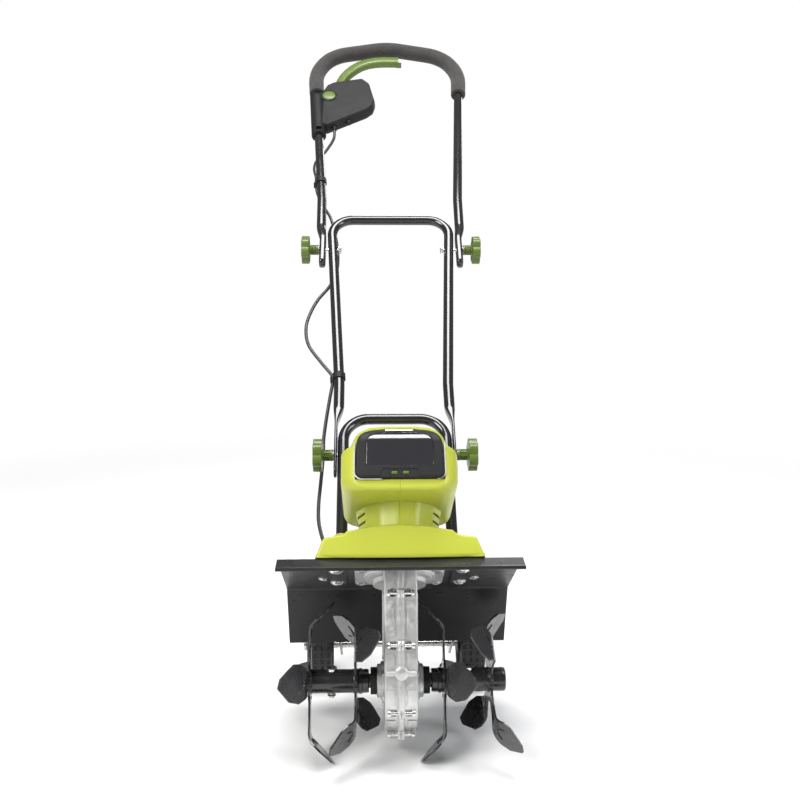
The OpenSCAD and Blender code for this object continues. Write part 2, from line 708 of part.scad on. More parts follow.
function catmull(p, i, u) = let (a = p[max(i - 1, 0)], b = p[i], c = p[i + 1], d = p[min(i + 2, len(p) - 1)])
    0.5 * (2 * b + (c - a) * u + (2 * a - 5 * b + 4 * c - d) * u * u + (3 * b - a - 3 * c + d) * u * u * u);
function smooth(p, n) = concat([for (i = [0 : len(p) - 2]) each [for (k = [0 : n - 1]) catmull(p, i, k / n)]],
    [p[len(p) - 1]]);
cable_sides = 8;
module cable(route) {
    p = smooth(route, 2);
    n = len(p);
    rings = [for (i = [0 : n - 1])
        let (t = unit(p[min(i + 1, n - 1)] - p[max(i - 1, 0)]), u = unit(cross(t, [0, 1, 0])), v = cross(u, t))
        each [for (k = [0 : cable_sides - 1]) let (a = 360 * k / cable_sides)
            p[i] + cable_d / 2 * (cos(a) * u + sin(a) * v)]];
    walls = [for (i = [0 : n - 2], k = [0 : cable_sides - 1]) let (q = (k + 1) % cable_sides)
        [i * cable_sides + k, i * cable_sides + q, (i + 1) * cable_sides + q, (i + 1) * cable_sides + k]];
    first = [for (k = [cable_sides - 1 : -1 : 0]) k];
    last = [for (k = [0 : cable_sides - 1]) (n - 1) * cable_sides + k];
    color(dark) handle() polyhedron(rings, concat([first], walls, [last]), convexity = 10);
}
module cable_upper() { cable(upper_route); }
module cable_middle() { cable(middle_route); }
module cable_lower() { cable(lower_route); }

module cover_gland() {
    color(dark) head() difference() {
        translate([gland_at.x, gland_at.y, 25]) cylinder(h = 14, r = 6);
        translate([gland_at.x, gland_at.y, 20]) cylinder(h = 24, r = 3.3);
    }
}
module switch_gland() {
    color(dark) handle() translate([-120, 0, 847.2]) cylinder(h = 16, r = 4.9);
}

// A clip between two stations of a leg: a ring round the tube and a ring round the cable beside it
clip_l = 12;
module clip(a, b, beside) {
    more = unit(b - a) * 3;
    color(dark) handle() difference() {
        union() {
            rod(a, b, tube_r + 2.2);
            translate(beside) rod(a, b, cable_d / 2 + 2);
        }
        rod(a - more, b + more, tube_r + 0.2);
        translate(beside) rod(a - more, b + more, cable_d / 2 + 0.3);
    }
}
clip_high = 672;
clip_low = 158;
cable_beside = [-11, 9, 0];
module clip_upper() {
    clip([leg_x(clip_high), 0, clip_high], [leg_x(clip_high + clip_l), 0, clip_high + clip_l], cable_beside);
}
module clip_middle() {
    clip([-middle_x(clip_low), 0, clip_low], [-middle_x(clip_low + clip_l), 0, clip_low + clip_l], cable_beside);
}

guard();
gear_case_left();
gear_case_right();
case_bolts();
motor_flange();
guard_screws();
base_cover();
housing_left();
housing_right();
battery_tray();
battery_pack_left();
battery_pack_right();
lid_frame();
lid_window();
lid_catches();
lid_pin();
motor_can();
rotor();
cooling_fan();
control_board();
cross_shaft();
worm_wheel();
output_gear();
tine_shaft();
tine_hub_left();
tine_hub_right();
tine_plate_left_outer();
tine_plate_left_inner();
tine_plate_right_outer();
tine_plate_right_inner();
clevis_pins();
spring_clips();
bearings();
shaft_seals();
wheel_bracket();
wheel_axle();
wheel_left();
wheel_right();
lower_tube();
middle_tube();
upper_tube();
foam_grip();
knob_lower_left();
knob_lower_right();
knob_upper_left();
knob_upper_right();
lower_bolts();
upper_bolts();
switch_box_left();
switch_box_right();
bail_lever();
safety_button();
lever_pin();
cover_gland();
switch_gland();
cable_upper();
cable_middle();
cable_lower();
clip_upper();
clip_middle();
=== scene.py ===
"""Battery garden cultivator: the detailed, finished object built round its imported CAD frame."""

import json
import math

import bmesh
import bpy
from mathutils import Matrix, Vector


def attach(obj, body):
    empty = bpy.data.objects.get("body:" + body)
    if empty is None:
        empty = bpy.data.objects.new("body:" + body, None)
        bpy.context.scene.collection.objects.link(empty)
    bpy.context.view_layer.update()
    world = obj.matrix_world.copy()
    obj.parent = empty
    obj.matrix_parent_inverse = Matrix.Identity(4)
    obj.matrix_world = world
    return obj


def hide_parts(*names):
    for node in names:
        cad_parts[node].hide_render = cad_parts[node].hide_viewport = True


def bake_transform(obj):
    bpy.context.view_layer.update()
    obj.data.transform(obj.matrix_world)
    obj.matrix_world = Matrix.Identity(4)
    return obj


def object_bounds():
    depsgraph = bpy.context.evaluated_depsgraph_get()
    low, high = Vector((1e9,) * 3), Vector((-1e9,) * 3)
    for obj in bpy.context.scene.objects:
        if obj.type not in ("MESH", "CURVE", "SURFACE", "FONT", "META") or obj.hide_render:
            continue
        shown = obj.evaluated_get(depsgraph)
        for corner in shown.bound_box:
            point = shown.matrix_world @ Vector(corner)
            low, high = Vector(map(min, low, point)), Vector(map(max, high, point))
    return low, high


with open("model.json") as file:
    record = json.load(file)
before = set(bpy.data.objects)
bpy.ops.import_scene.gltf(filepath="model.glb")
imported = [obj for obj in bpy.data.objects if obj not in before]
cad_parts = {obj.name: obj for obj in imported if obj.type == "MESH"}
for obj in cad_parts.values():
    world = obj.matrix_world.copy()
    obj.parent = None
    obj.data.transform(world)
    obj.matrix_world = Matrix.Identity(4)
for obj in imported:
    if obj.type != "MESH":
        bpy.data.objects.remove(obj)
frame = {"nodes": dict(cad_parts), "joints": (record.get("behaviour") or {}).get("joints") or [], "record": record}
cad_low, cad_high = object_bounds()
joints = {j["name"]: j for j in frame["joints"]}
scene = bpy.context.scene


# Frames, all in millimetres: x across the machine, z up along each part
def joint_at(name):
    return Vector(joints[name]["pos_m"])


def frame_of(origin, up):
    z = Vector(up).normalized()
    x = Vector((1, 0, 0))
    y = z.cross(x).normalized()
    turn = Matrix((x, y, z)).transposed().to_4x4()
    return Matrix.Translation(Vector((0, origin[1], origin[2]))) @ turn @ Matrix.Scale(0.001, 4)


shaft = joint_at("tine_spin")
MACHINE = frame_of(shaft, (0, 0, 1))
HEAD = frame_of(joint_at("rotor_spin"), joints["rotor_spin"]["axis"])
LEG = frame_of(shaft, joint_at("cross_spin") - shaft)
lower_knobs = joint_at("middle_handle_fold")
upper_knobs = joint_at("upper_handle_fold")
HANDLE = frame_of(lower_knobs, upper_knobs - lower_knobs)

# Sizes and places that several pieces share, in millimetres
TUBE_R = 9.5
GUARD_HALF = 172.5
PLATE_UNDER = 2.1
FLANGE_UNDER = 8
CASE_R = 68
CASE_HALF = 23.5
CASE_TOP = 185
CASE_TOP_HALF = 42
HUB_R = 16.5
TINE_BEND = 76
BLADE = 50
FOLD_REACH = 14
LOWER_LEG = 88
LOWER_END = -196
UPPER_KNOB = 479
GRIP_R = 17
GRIP_END = 975
BUTTON_AT = (-134, 0, 951)
GLAND_AT = (-120, 0, 0)
WHEEL_AT = Vector((128, 245, -43.98))

# Camera: a 40.5 mm lens, a little above the machine and tilted down, turned slightly to the right
CAMERA_PITCH = math.radians(7)
CAMERA_YAW = math.radians(1.8)
CAMERA_BACK = 1.304
CAMERA_UP = 0.406


def make_camera():
    pitch, yaw = CAMERA_PITCH, CAMERA_YAW
    ahead = Vector((math.sin(yaw) * math.cos(pitch), math.cos(yaw) * math.cos(pitch), -math.sin(pitch)))
    up = Vector((math.sin(yaw) * math.sin(pitch), math.cos(yaw) * math.sin(pitch), math.cos(pitch)))
    right = ahead.cross(up)
    data = bpy.data.cameras.new("camera")
    data.lens = 40.5
    data.sensor_width = 36
    data.clip_end = 60
    camera = bpy.data.objects.new("camera", data)
    place = Matrix((right, up, -ahead)).transposed().to_4x4()
    place.translation = Vector((0, shaft.y, shaft.z)) - CAMERA_BACK * ahead + CAMERA_UP * up
    camera.matrix_world = place
    scene.collection.objects.link(camera)
    scene.camera = camera


make_camera()


# Materials
def coat(name, colour, rough, metal=0.0, clear=0.0, tone=0.08, mottle=18, grain=700, dent=0.05, smudge=0.08,
         cells=0, sheen=0.0, see=0.0, shine=0.5):
    """A procedural finish: its tone drifts, its roughness is smudged and its surface has a fine grain."""
    mat = bpy.data.materials.new(name)
    mat.use_nodes = True
    nodes, links = mat.node_tree.nodes, mat.node_tree.links
    shader = nodes["Principled BSDF"]
    spot = nodes.new("ShaderNodeTexCoord").outputs["Object"]

    def noise(scale, detail):
        n = nodes.new("ShaderNodeTexNoise")
        n.inputs["Scale"].default_value = scale
        n.inputs["Detail"].default_value = detail
        links.new(spot, n.inputs["Vector"])
        return n.outputs["Fac"]

    def spread(value, low, high):
        n = nodes.new("ShaderNodeMapRange")
        n.inputs["From Min"].default_value = 0.3
        n.inputs["From Max"].default_value = 0.7
        n.inputs["To Min"].default_value = low
        n.inputs["To Max"].default_value = high
        links.new(value, n.inputs["Value"])
        return n.outputs["Result"]

    mix = nodes.new("ShaderNodeMix")
    mix.data_type = "RGBA"
    mix.inputs["A"].default_value = (*[c * (1 - tone) for c in colour], 1)
    mix.inputs["B"].default_value = (*[min(1, c * (1 + tone)) for c in colour], 1)
    links.new(spread(noise(mottle, 5), 0, 1), mix.inputs["Factor"])
    links.new(mix.outputs["Result"], shader.inputs["Base Color"])
    links.new(spread(noise(mottle * 3, 3), max(0.02, rough - smudge), min(1, rough + smudge)),
              shader.inputs["Roughness"])
    if cells:
        pores = nodes.new("ShaderNodeTexVoronoi")
        pores.inputs["Scale"].default_value = cells
        links.new(spot, pores.inputs["Vector"])
        height = pores.outputs["Distance"]
    else:
        height = noise(grain, 4)
    bump = nodes.new("ShaderNodeBump")
    bump.inputs["Strength"].default_value = dent
    bump.inputs["Distance"].default_value = 0.001
    links.new(height, bump.inputs["Height"])
    links.new(bump.outputs["Normal"], shader.inputs["Normal"])
    shader.inputs["Metallic"].default_value = metal
    shader.inputs["Specular IOR Level"].default_value = shine
    shader.inputs["Coat Weight"].default_value = clear
    shader.inputs["Coat Roughness"].default_value = 0.08
    shader.inputs["Sheen Weight"].default_value = sheen
    shader.inputs["Alpha"].default_value = 1 - see
    return mat


coats = {
    "guard_black": coat("guard_black", (0.015, 0.015, 0.016), 0.34, tone=0.15, grain=900, dent=0.1,
                        shine=0.4),
    "cast_aluminium": coat("cast_aluminium", (0.58, 0.58, 0.57), 0.45, metal=0.85, tone=0.12, mottle=60,
                           grain=520, dent=0.35, smudge=0.12),
    "zinc_steel": coat("zinc_steel", (0.68, 0.68, 0.67), 0.26, metal=1.0, tone=0.08, mottle=80, dent=0.06),
    "lime_plastic": coat("lime_plastic", (0.42, 0.455, 0.045), 0.36, tone=0.03, mottle=6, grain=1600,
                         dent=0.05, smudge=0.05),
    "leaf_plastic": coat("leaf_plastic", (0.082, 0.125, 0.016), 0.34, tone=0.05, mottle=20, grain=1400,
                         dent=0.05),
    "black_plastic": coat("black_plastic", (0.013, 0.013, 0.014), 0.5, tone=0.12, grain=1500, dent=0.2,
                          shine=0.22),
    "smoked_window": coat("smoked_window", (0.022, 0.022, 0.025), 0.07, clear=0.6, tone=0.1, mottle=8,
                          dent=0.01, smudge=0.03, see=0.12),
    "tube_black": coat("tube_black", (0.014, 0.013, 0.014), 0.15, clear=0.4, tone=0.12, mottle=10, grain=160,
                       dent=0.012, smudge=0.03),
    "tine_black": coat("tine_black", (0.016, 0.016, 0.017), 0.25, clear=0.35, tone=0.2, mottle=26, grain=220,
                       dent=0.10, smudge=0.08),
    "dark_steel": coat("dark_steel", (0.10, 0.095, 0.09), 0.38, metal=0.9, tone=0.15, mottle=50, dent=0.1),
    "foam": coat("foam", (0.030, 0.027, 0.026), 0.9, tone=0.15, mottle=40, cells=900, dent=0.6, sheen=0.15),
    "wheel_black": coat("wheel_black", (0.022, 0.022, 0.023), 0.5, tone=0.15, grain=900, dent=0.25),
    "cable_black": coat("cable_black", (0.03, 0.03, 0.031), 0.42, tone=0.1, grain=1100, dent=0.08),
    "brass": coat("brass", (0.62, 0.45, 0.18), 0.3, metal=1.0, mottle=60),
    "board_green": coat("board_green", (0.02, 0.12, 0.06), 0.5, mottle=60),
    "copper": coat("copper", (0.6, 0.28, 0.15), 0.35, metal=1.0, mottle=60),
}
# A light grey for the painted highlight along the lid's rim; dress also falls back to it for a finish not in the
# table.
highlight_grey = coat("highlight_grey", (0.55, 0.55, 0.52), 0.3, tone=0.05)


# Shapes, drawn in millimetres and placed in the row frame
def solid(name, verts, faces, place):
    mesh = bpy.data.meshes.new(name)
    mesh.from_pydata([place @ Vector(v) for v in verts], [], faces)
    work = bmesh.new()
    work.from_mesh(mesh)
    bmesh.ops.remove_doubles(work, verts=work.verts, dist=1e-6)
    bmesh.ops.recalc_face_normals(work, faces=work.faces)
    work.to_mesh(mesh)
    work.free()
    obj = bpy.data.objects.new(name, mesh)
    scene.collection.objects.link(obj)
    return obj


def fillet(line, radius, steps=6):
    """The outline with round corners; radius is one number, or one for each corner."""
    out = []
    n = len(line)
    for i in range(n):
        a, b, c = (Vector(line[(i + k) % n]) for k in (-1, 0, 1))
        u, v = (a - b), (c - b)
        r = radius[i] if hasattr(radius, "__len__") else radius
        angle = u.angle(v)
        if r <= 0 or angle > 3.1:
            out.append(b)
            continue
        reach = min(r / math.tan(angle / 2), 0.48 * u.length, 0.48 * v.length)
        r = reach * math.tan(angle / 2)
        start, end = b + u.normalized() * reach, b + v.normalized() * reach
        centre = b + (u.normalized() + v.normalized()).normalized() * (r / math.sin(angle / 2))
        for k in range(steps + 1):
            out.append(centre + (start - centre).lerp(end - centre, k / steps).normalized() * r)
    return out


def ccw(line):
    line = [Vector(p) for p in line]
    line = [p for i, p in enumerate(line) if (p - line[i - 1]).length > 1e-3]
    area = sum(a.x * b.y - b.x * a.y for a, b in zip(line, line[1:] + line[:1]))
    return line if area > 0 else line[::-1]


def inset(line, d):
    """A counter-clockwise outline moved inwards by d."""
    out = []
    for i, b in enumerate(line):
        u, v = (b - line[i - 1]).normalized(), (line[(i + 1) % len(line)] - b).normalized()
        nu, nv = Vector((-u.y, u.x)), Vector((-v.y, v.x))
        out.append(b + (nu + nv) * d / max(1 + nu.dot(nv), 0.3))
    return out


def on_axis(axis, p, s):
    return {"x": (s, p[0], p[1]), "y": (p[0], s, p[1]), "z": (p[0], p[1], s)}[axis]


def layers(name, line, levels, axis, place, shape=None):
    """A solid through one outline at several levels, each (inset, distance along the axis).

    shape, where it is given, moves each point (x, y, z) to its place in the finished form.
    """
    line = ccw(line)
    n = len(line)
    verts = [on_axis(axis, p, s) for d, s in levels for p in inset(line, d)]
    if shape:
        verts = [shape(*v) for v in verts]
    faces = [(k * n + i, k * n + (i + 1) % n, (k + 1) * n + (i + 1) % n, (k + 1) * n + i)
             for k in range(len(levels) - 1) for i in range(n)]
    faces += [tuple(range(n)), tuple(range((len(levels) - 1) * n, len(levels) * n))]
    return solid(name, verts, faces, place)


def rounding(edge, a, b, steps=3):
    """Levels from a to b with a quarter circle at each end."""
    start = [(edge * (1 - math.sin(t)), edge * (1 - math.cos(t)))
             for t in (math.pi / 2 * k / steps for k in range(steps + 1))]
    return [(d, a + s) for d, s in start] + [(d, b - s) for d, s in reversed(start)]


def prism(name, line, a, b, axis, place, edge=1.0, steps=3):
    """The outline drawn out from a to b, with its end edges rounded."""
    return layers(name, line, rounding(edge, a, b, steps), axis, place)


def lathe(name, profile, axis, place, centre=(0, 0, 0), n=64, closed=False):
    """A profile of (distance along the axis, radius) turned about the axis through centre."""
    c = Vector(centre)
    verts = []
    for s, r in profile:
        for k in range(n):
            a = math.tau * k / n
            verts.append(c + Vector(on_axis(axis, (r * math.cos(a), r * math.sin(a)), s)))
    m = len(profile)
    faces = [(i * n + k, i * n + (k + 1) % n, ((i + 1) % m) * n + (k + 1) % n, ((i + 1) % m) * n + k)
             for i in range(m if closed else m - 1) for k in range(n)]
    if not closed:
        faces += [tuple(range(n)), tuple(range((m - 1) * n, m * n))]
    return solid(name, verts, faces, place)


def drum(name, axis, a, b, r, place, centre=(0, 0, 0), edge=1.0, n=64):
    """A plain round solid with rounded rims."""
    steps = [math.pi / 2 * k / 3 for k in range(4)]
    rim = [(edge * (1 - math.cos(t)), r - edge * (1 - math.sin(t))) for t in steps]
    profile = [(a + s, q) for s, q in rim] + [(b - s, q) for s, q in reversed(rim)]
    return lathe(name, profile, axis, place, centre, n)


def box(name, low, high, place, edge=0.0):
    """A block between two corners, with round edges where edge is given."""
    line = [(low[0], low[1]), (high[0], low[1]), (high[0], high[1]), (low[0], high[1])]
    return prism(name, fillet(line, edge, 3) if edge else line, low[2], high[2], "z", place, edge)


def rings(name, loops, place):
    """A solid through a row of loops with the same number of points, closed at both ends."""
    n, m = len(loops[0]), len(loops)
    verts = [v for loop in loops for v in loop]
    faces = [(i * n + k, i * n + (k + 1) % n, (i + 1) * n + (k + 1) % n, (i + 1) * n + k)
             for i in range(m - 1) for k in range(n)]
    faces += [tuple(range(n)), tuple(range((m - 1) * n, m * n))]
    return solid(name, verts, faces, place)


def bake(obj):
    """Applies an object's modifiers to its mesh."""
    mesh = bpy.data.meshes.new_from_object(obj.evaluated_get(bpy.context.evaluated_depsgraph_get()))
    obj.modifiers.clear()
    obj.data = mesh
    return obj


def combine(obj, tools, operation="DIFFERENCE"):
    """Cuts the tools out of an object, or joins them to it, and removes them."""
    for tool in tools:
        m = obj.modifiers.new("join", "BOOLEAN")
        m.object = tool
        m.operation = operation
        m.solver = "EXACT"
    bake(obj)
    for tool in tools:
        bpy.data.objects.remove(tool)
    return obj


def cut(obj, *tools):
    return combine(obj, tools)


def together(name, *parts):
    """One object made of several closed solids."""
    work = bmesh.new()
    for p in parts:
        work.from_mesh(p.data)
        bpy.data.objects.remove(p)
    mesh = bpy.data.meshes.new(name)
    work.to_mesh(mesh)
    work.free()
    obj = bpy.data.objects.new(name, mesh)
    scene.collection.objects.link(obj)
    return obj


def dress(obj, finish, body, *instead, soft=35):
    """Gives a finished piece its coat, its smooth normals and the CAD body it rides on."""
    obj.data.materials.clear()
    obj.data.materials.append(coats.get(finish, highlight_grey))
    for p in obj.data.polygons:
        p.use_smooth = True
    obj.data.set_sharp_from_angle(angle=math.radians(soft))
    obj.modifiers.new("even", "WEIGHTED_NORMAL").keep_sharp = True
    if body:
        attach(obj, body)
    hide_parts(*instead)
    return obj


# Guard: a folded sheet with a rolled front lip
def guard():
    sheet_t = 2
    upper = [Vector(p) for p in ((-48, 183), (-21, 189), (115, 100.5), (148, -0.5))]
    under = []
    for i, p in enumerate(upper):
        a = (upper[min(i + 1, 3)] - upper[min(i, 2)]).normalized()
        b = (upper[max(i, 1)] - upper[max(i - 1, 0)]).normalized()
        m = (a + b).normalized()
        under.append(p - Vector((-m.y, m.x)) / m.dot(a) * sheet_t)
    line = upper + under[::-1]
    radii = [0.8, 7, 12, 0.8, 0.8, 10, 5, 0.8]
    sheet = prism("guard_sheet", fillet(line, radii, 8), -GUARD_HALF, GUARD_HALF, "x", MACHINE, 0.5, 2)
    lip = fillet([(-49, 181), (-47.6, 184.4), (-43, 184.6), (-43.8, 179.8), (-47.5, 179)], 0.8, 3)
    hem = prism("hem", lip, -GUARD_HALF, GUARD_HALF, "x", MACHINE, 0.4, 2)
    dress(together("guard_sheet", sheet, hem), "guard_black", "base", "guard")


# Housing: base cover, neck and battery box
def base_cover():
    line = [(-120, 0.6), (-109, 30), (-80, 34), (-76, 39), (-40, 45), (0, 47), (40, 45), (76, 39), (80, 34),
            (109, 30), (120, 0.6)]
    radii = [1, 9, 5, 5, 60, 80, 60, 5, 5, 9, 1]
    fine = []
    outline = ccw(fillet(line, radii, 6))
    for i, p in enumerate(outline):
        q = outline[(i + 1) % len(outline)]
        steps = max(1, int((q - p).length / 9))
        fine += [p.lerp(q, k / steps) for k in range(steps)]

    def bow(x, y, z):
        """Bows the front of the cover forwards and lets its lower edge droop in the middle."""
        front = max(0, 1 - (x / 120) ** 2)
        ahead = max(0, min(1, (-20 - y) / 46))
        low = max(0, 1 - z / 9)
        return (x, y - 6.5 * front * ahead, z - 3.4 * front * low * (ahead > 0.93))

    levels = [(4.5, -66), (2.2, -65.4), (0.8, -64), (0, -61)] + [(0, y) for y in range(-55, 90, 8)]
    levels += [(0, 91), (1, 94), (3.5, 96)]
    cover = layers("base_cover_shell", fine, levels, "y", HEAD, bow)
    holes = [drum("hole", "z", -226, 0, 10.4, HANDLE, (x, 0, 0)) for x in (-LOWER_LEG, LOWER_LEG)]
    cable_hole = drum("hole", "z", 22, 60, 6.2, HEAD, (-108, 62, 0))
    cut(cover, *holes, cable_hole)
    neck_ring = [(40, 60.5), (40, 63.5), (48.6, 63.5), (49.6, 62.5), (49.6, 60.5)]
    ring = lathe("collar", neck_ring, "z", HEAD, n=96, closed=True)
    dress(together("base_cover_shell", cover, ring), "lime_plastic", "base", "base_cover")
    profile = [(-158, 9.7), (-158, 12.5), (-152, 12.5), (-151, 11.8), (-151, 9.7)]
    collars = [lathe("collar", profile, "z", HANDLE, (x, 0, 0), closed=True) for x in (-LOWER_LEG, LOWER_LEG)]
    dress(together("leg_collars", *collars), "lime_plastic", "base")


def neck_outline(r, sides=14):
    """A round outline with soft vertical facets."""
    angles = [math.tau * (k + 0.5) / sides for k in range(sides)]
    corner = r * 1.028
    return fillet([(corner * math.cos(a), corner * math.sin(a)) for a in angles], 26, 5)


def housing():
    flare = [(0, 10), (0, 60), (-1, 74), (-4, 84), (-7, 92)]
    neck = layers("neck", neck_outline(59.4), flare, "z", HEAD)
    half = [(-62, 84), (-76, 88), (-84, 100), (-84, 150), (-72, 156), (-64, 175), (-48, 182), (-24, 184)]
    line = half + [(-x, z) for x, z in reversed(half)]
    half_radii = [18, 18, 22, 8, 8, 12, 16, 40]
    radii = half_radii + half_radii[::-1]

    def narrow(x, y, z):
        """Narrows the box towards its front, where it holds the lid."""
        t = max(0, min(1, (-82 - y) / 28))
        return (x * (1 - 0.2 * t * t), y, z)

    levels = [(5.5, -110), (3.6, -109.6), (1.9, -108.4), (0.8, -106.4), (0.2, -103.5)]
    levels += [(0, y) for y in range(-101, -76, 3)]
    levels += [(0, -40), (0, 20), (0, 54), (0.8, 58), (2.4, 61), (4.8, 62)]
    shell = layers("box", fillet(line, radii, 6), levels, "y", HEAD, narrow)
    combine(shell, [neck], "UNION")
    lid_seat = box("tool", (-63.4, -112, 99.4), (63.4, -102, 190), HEAD)
    vent = fillet([(-15, 0), (12, 0), (15, 3.6), (-12, 3.6)], 1.4, 3)
    vents = []
    for side in (-1, 1):
        facing = Matrix.Rotation(math.radians(side * 56), 4, "Z")
        for z in (49, 61, 73):
            turn = HEAD @ Matrix.Translation((side * 56, -24, z)) @ facing
            vents.append(prism("tool", vent, -14, 14, "y", turn, 0.5, 2))
    seam = box("tool", (-0.12, -140, 5), (0.12, 90, 200), HEAD)
    grille = [box("tool", (x - 3, 55, 118), (x + 3, 66, 150), HEAD) for x in range(-36, 37, 12)]
    cut(shell, lid_seat, *vents, seam, *grille)
    dress(shell, "lime_plastic", "base", "housing_left", "housing_right", soft=32)


def slice_at(work, point, normal, **more):
    """Cuts a mesh through along a plane."""
    everything = work.verts[:] + work.edges[:] + work.faces[:]
    bmesh.ops.bisect_plane(work, geom=everything, plane_co=point, plane_no=normal, **more)


def rolled(obj):
    """Rolls the top of a flat piece of the lid backwards, as its far edge does."""
    from_z, depth, height = 154, 13, 27
    work = bmesh.new()
    work.from_mesh(obj.data)
    work.transform(HEAD.inverted())
    for k in range(16):
        slice_at(work, (0, 0, from_z + 1.7 * k), (0, 0, 1))
    for v in work.verts:
        v.co.y += depth * max(0, (v.co.z - from_z) / height) ** 2
    work.transform(HEAD)
    work.to_mesh(obj.data)
    work.free()
    return obj


def lid():
    outline = [(-63, 106), (-57, 100), (57, 100), (63, 106), (62, 152), (58, 167), (46, 176), (24, 180.3),
               (0, 181.2), (-24, 180.3), (-46, 176), (-58, 167), (-62, 152)]
    line = fillet(outline, [9, 10, 10, 9, 30, 20, 30, 60, 60, 60, 30, 20, 30], 5)
    crown = [(0, -106), (0, -112.5), (0.7, -115), (2.2, -116.3), (3.4, -116.5)]
    frame_piece = layers("lid_shell", line, crown, "y", HEAD)
    pane = [(-49, 117), (49, 117), (48, 156), (44, 165), (30, 170.5), (0, 172.5), (-30, 170.5), (-44, 165),
            (-48, 156)]
    rounded = fillet(pane, [6, 6, 20, 10, 30, 60, 30, 10, 20], 5)
    hole = layers("tool", rounded, [(0, -122), (0, -100)], "y", HEAD)
    slots = [box("tool", (x - 4.9, -120, 104.4), (x + 4.9, -100, 110.6), HEAD, 1.2) for x in (-8, 8)]
    latch = fillet([(-30, 101.8), (30, 101.8), (24, 113.5), (-24, 113.5)], 3)
    slots.append(prism("tool", latch, -120, -115.7, "y", HEAD, 0.2))
    cut(frame_piece, hole, *slots)
    dress(rolled(frame_piece), "black_plastic", "lid", "lid_frame")
    glass = [(0.4, -113), (0.4, -116.1), (1.2, -116.9), (2.6, -117.2)]
    window = layers("window_pane", rounded, glass, "y", HEAD)
    dress(rolled(window), "smoked_window", "lid", "lid_window")
    catches = [box("catch", (x - 4.3, -116.4, 105.2), (x + 4.3, -109, 109.8), HEAD, 1) for x in (-8, 8)]
    dress(together("catch_pair", *catches), "leaf_plastic", "lid", "lid_catches")
    # Painted highlight: light grey beads along the lid's lower rim stand in for its lit edge.
    dress(together("lid_rim_highlight", lid_bead(-65, -24, [Vector((-26, 99))]), lid_bead(30, 65, [])), "trim", "lid")


def lid_bead(low, high, ending):
    """A light grey bead along the lower edge of the lid, between two distances from the middle: a painted
    highlight where the lid's rim catches the light.
    """
    edge = ccw(fillet([(-64.2, 156), (-64.2, 99), (64.2, 99), (64.2, 156)], [0, 11, 11, 0], 8))
    run = sorted((p for p in edge if low <= p.x <= high), key=lambda p: math.atan2(p.x, 130 - p.y))
    dense = [p.lerp(q, k / 4) for p, q in zip(run, run[1:]) for k in range(4)] + [run[-1]] + ending
    angles = [math.tau * k / 10 for k in range(10)]
    return rings("bead", [[(p.x + 0.9 * math.cos(a), -112.6 + 1.5 * math.sin(a), p.y + 0.54 * math.cos(a))
                           for a in angles] for p in dense], HEAD)


# Gear case: two cast halves with a centre rib, pads, bolt recesses and the shaft hubs
def case_line(grow):
    """The side outline of the case as (y, z), from its top round the shaft and back."""
    r = CASE_R + grow
    arc = [(r * math.sin(math.radians(a)), -r * math.cos(math.radians(a))) for a in range(-100, 101, 5)]
    return [(-CASE_TOP_HALF - grow, CASE_TOP)] + arc + [(CASE_TOP_HALF + grow, CASE_TOP)]


def under_plate(obj):
    """Trims a part of the gear case level with the flange plate above it."""
    work = bmesh.new()
    work.from_mesh(obj.data)
    under = HEAD @ Vector((0, 0, -FLANGE_UNDER - 0.1))
    slice_at(work, under, HEAD.to_3x3() @ Vector((0, 0, 1)), clear_outer=True)
    work.to_mesh(obj.data)
    work.free()
    return obj


def front_pad(x0, x1, z0, z1, grow):
    """A raised pad that follows the case's outline between two heights, on its front."""
    outer = [p for p in case_line(grow)[:28] if p[0] < 1]
    dense = []
    for a, b in zip(outer, outer[1:]):
        steps = max(1, int(math.dist(a, b) / 2))
        way = (b[0] - a[0], b[1] - a[1])
        dense += [(a[0] + way[0] * k / steps, a[1] + way[1] * k / steps) for k in range(steps)]
    edge = [p for p in dense if z0 <= p[1] <= z1]
    inner = [(p[0] + 5 * (1 if p[0] < -20 else 0.4), p[1] + (4 if p[1] < -50 else 0)) for p in edge[::-1]]
    return prism("pad", edge + inner, x0, x1, "x", LEG, 0.8, 2)


# Bolts along the seam of the case, as (y, z); the ones in front sit in recesses
BOLTS = [(-50, 136), (52, 96), (-60, 65), (68, 38), (-64, -27), (62, -44), (-38, -64), (0, -76)]


